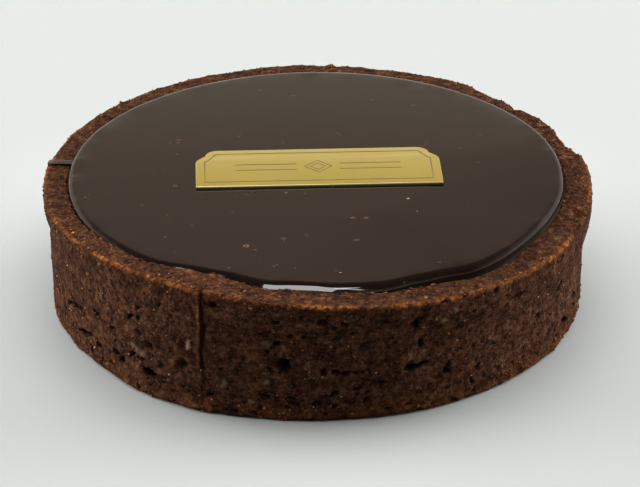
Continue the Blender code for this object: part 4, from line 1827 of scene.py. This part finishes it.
@dataclass(frozen=True)
class SoftLight:
    """A broad soft light far away, in degrees: its place, and the half widths between which it fades out."""

    azimuth: float
    elevation: float
    inner: float
    outer: float
    strength: float

    def direction(self) -> Vector:
        """The unit vector towards the light."""
        azimuth, elevation = math.radians(self.azimuth), math.radians(self.elevation)
        flat = math.cos(elevation)
        return Vector((flat * math.cos(azimuth), flat * math.sin(azimuth), math.sin(elevation)))


@dataclass(frozen=True)
class StripLight:
    """A light over the front that only glossy surfaces show: where it starts and ends, and its radiance.

    Its azimuths are in degrees from the front towards the right, and its elevations in degrees above the
    front's horizon.
    """

    name: str
    azimuths: tuple[float, float]
    elevations: tuple[float, float]
    power: float


@dataclass
class Studio:
    """The white paper, the soft light from the sides and from above, and the camera."""

    paper: Finish = field(default_factory=StudioPaper)
    paper_radius: float = 1600 * MM
    ambient: float = 0.02
    surround: str = "#e9eae8"
    soft_lights: tuple[SoftLight, ...] = (
        SoftLight(160.0, 10.0, 5.0, 38.0, 16.6),
        SoftLight(25.0, 10.0, 5.0, 38.0, 16.0),
        SoftLight(98.0, 20.0, 5.0, 38.0, 2.2),
        SoftLight(90.0, 75.0, 5.0, 48.0, 5.0),
    )
    strip_lights: tuple[StripLight, ...] = (
        StripLight("front_strip", (-47.0, 12.5), (30.0, 82.0), 9.0),
        StripLight("front_spot", (20.0, 25.0), (40.0, 76.0), 9.0),
    )
    strip_distance: float = 600 * MM
    # What glossy surfaces mirror: elevation in degrees above the horizon, and colour.
    mirrored_sky: tuple[tuple[float, str], ...] = (
        (0.0, "#d6cab8"),
        (23.0, "#d2c6b3"),
        (26.0, "#b19f8e"),
        (33.0, "#a29181"),
        (40.0, "#7a695f"),
        (50.0, "#5a4d45"),
        (90.0, "#3f3530"),
    )
    camera_place: Vector = Vector((-0.5, -398.07, 214.02)) * MM
    camera_aim: Vector = Vector((0.353, -0.27, 7.562)) * MM
    lens: float = 168.75

    def lay_paper(self) -> None:
        """Builds the paper: a flat sheet that the tart stands on."""
        shape = bmesh.new()
        bmesh.ops.create_circle(shape, cap_ends=True, segments=96, radius=self.paper_radius)
        mesh = bpy.data.meshes.new("paper")
        shape.to_mesh(mesh)
        shape.free()
        mesh.materials.append(self.paper.made())
        paper = bpy.data.objects.new("paper", mesh)
        bpy.context.collection.objects.link(paper)

    def light(self) -> None:
        """Makes the surroundings: dim overhead, with the broad soft lights."""
        world = bpy.data.worlds.new("studio")
        bpy.context.scene.world = world
        world.use_nodes = True
        tree = world.node_tree
        tree.nodes.clear()
        towards = add_node(tree, "ShaderNodeTexCoord").outputs["Generated"]
        total: Any = self.ambient
        for light in self.soft_lights:
            facing = add_node(
                tree, "ShaderNodeVectorMath", {0: towards, 1: light.direction()}, operation="DOT_PRODUCT"
            )
            glow = add_node(
                tree,
                "ShaderNodeMapRange",
                {
                    "Value": facing.outputs["Value"],
                    "From Min": math.cos(math.radians(light.outer)),
                    "From Max": math.cos(math.radians(light.inner)),
                    "To Min": 0.0,
                    "To Max": light.strength,
                },
                interpolation_type="SMOOTHSTEP",
            )
            summed = add_node(tree, "ShaderNodeMath", {0: glow.outputs[0], 1: total}, operation="ADD")
            total = summed.outputs[0]
        lit = add_node(tree, "ShaderNodeBackground", {"Color": total, "Strength": 1.0})
        upward = add_node(tree, "ShaderNodeSeparateXYZ", {"Vector": towards}).outputs["Z"]
        sky = add_node(tree, "ShaderNodeValToRGB", {"Fac": upward})
        set_stops(sky, [(math.sin(math.radians(degrees)), colour) for degrees, colour in self.mirrored_sky])
        mirrored = add_node(tree, "ShaderNodeBackground", {"Color": sky.outputs["Color"], "Strength": 1.0})
        surround = linear_colour(self.surround)
        seen = add_node(tree, "ShaderNodeBackground", {"Color": surround, "Strength": 1.0})
        rays = add_node(tree, "ShaderNodeLightPath")
        shown = add_node(
            tree,
            "ShaderNodeMixShader",
            {0: rays.outputs["Is Glossy Ray"], 1: lit.outputs[0], 2: mirrored.outputs[0]},
        )
        mixed = add_node(
            tree,
            "ShaderNodeMixShader",
            {0: rays.outputs["Is Camera Ray"], 1: shown.outputs[0], 2: seen.outputs[0]},
        )
        add_node(tree, "ShaderNodeOutputWorld", {"Surface": mixed.outputs[0]})

    def hang(self, strip: StripLight) -> None:
        """Hangs a strip light over the front of the tart."""
        side = [math.radians(value) for value in strip.azimuths]
        up = [math.radians(value) for value in strip.elevations]
        middle_side, middle_up = sum(side) / 2, sum(up) / 2
        flat = math.cos(middle_up)
        towards = Vector((flat * math.sin(middle_side), -flat * math.cos(middle_side), math.sin(middle_up)))
        lamp = bpy.data.lights.new(strip.name, "AREA")
        lamp.shape = "RECTANGLE"
        lamp.size = 2 * self.strip_distance * math.tan((side[1] - side[0]) / 2) * flat
        lamp.size_y = 2 * self.strip_distance * math.tan((up[1] - up[0]) / 2)
        lamp.energy = strip.power * math.pi * lamp.size * lamp.size_y
        made = bpy.data.objects.new(strip.name, lamp)
        made.location = towards * self.strip_distance + Vector((0.0, 0.0, 20 * MM))
        made.rotation_euler = towards.to_track_quat("Z", "Y").to_euler()
        made.visible_diffuse = False
        made.visible_camera = False
        bpy.context.collection.objects.link(made)

    def set_camera(self) -> None:
        """Places the camera."""
        lens = bpy.data.cameras.new("camera")
        lens.lens = self.lens
        lens.clip_start = 0.01
        camera = bpy.data.objects.new("camera", lens)
        camera.location = self.camera_place
        camera.rotation_euler = (self.camera_aim - self.camera_place).to_track_quat("-Z", "Y").to_euler()
        bpy.context.collection.objects.link(camera)
        bpy.context.scene.camera = camera

    def build(self) -> None:
        """Builds the whole studio."""
        bpy.context.scene.view_settings.view_transform = "Standard"
        self.lay_paper()
        self.light()
        for strip in self.strip_lights:
            self.hang(strip)
        self.set_camera()


def main() -> None:
    """Builds every part of the tart in order, and the studio round it."""
    logging.basicConfig(level=logging.INFO, format="%(name)s: %(message)s")
    case = Case().build()
    CaseGrains(case).build()
    Filling().build()
    Card().build()
    Sliver().build()
    Studio().build()
    LOG.info("the whole tart is built")


if __name__ == "__main__":
    main()
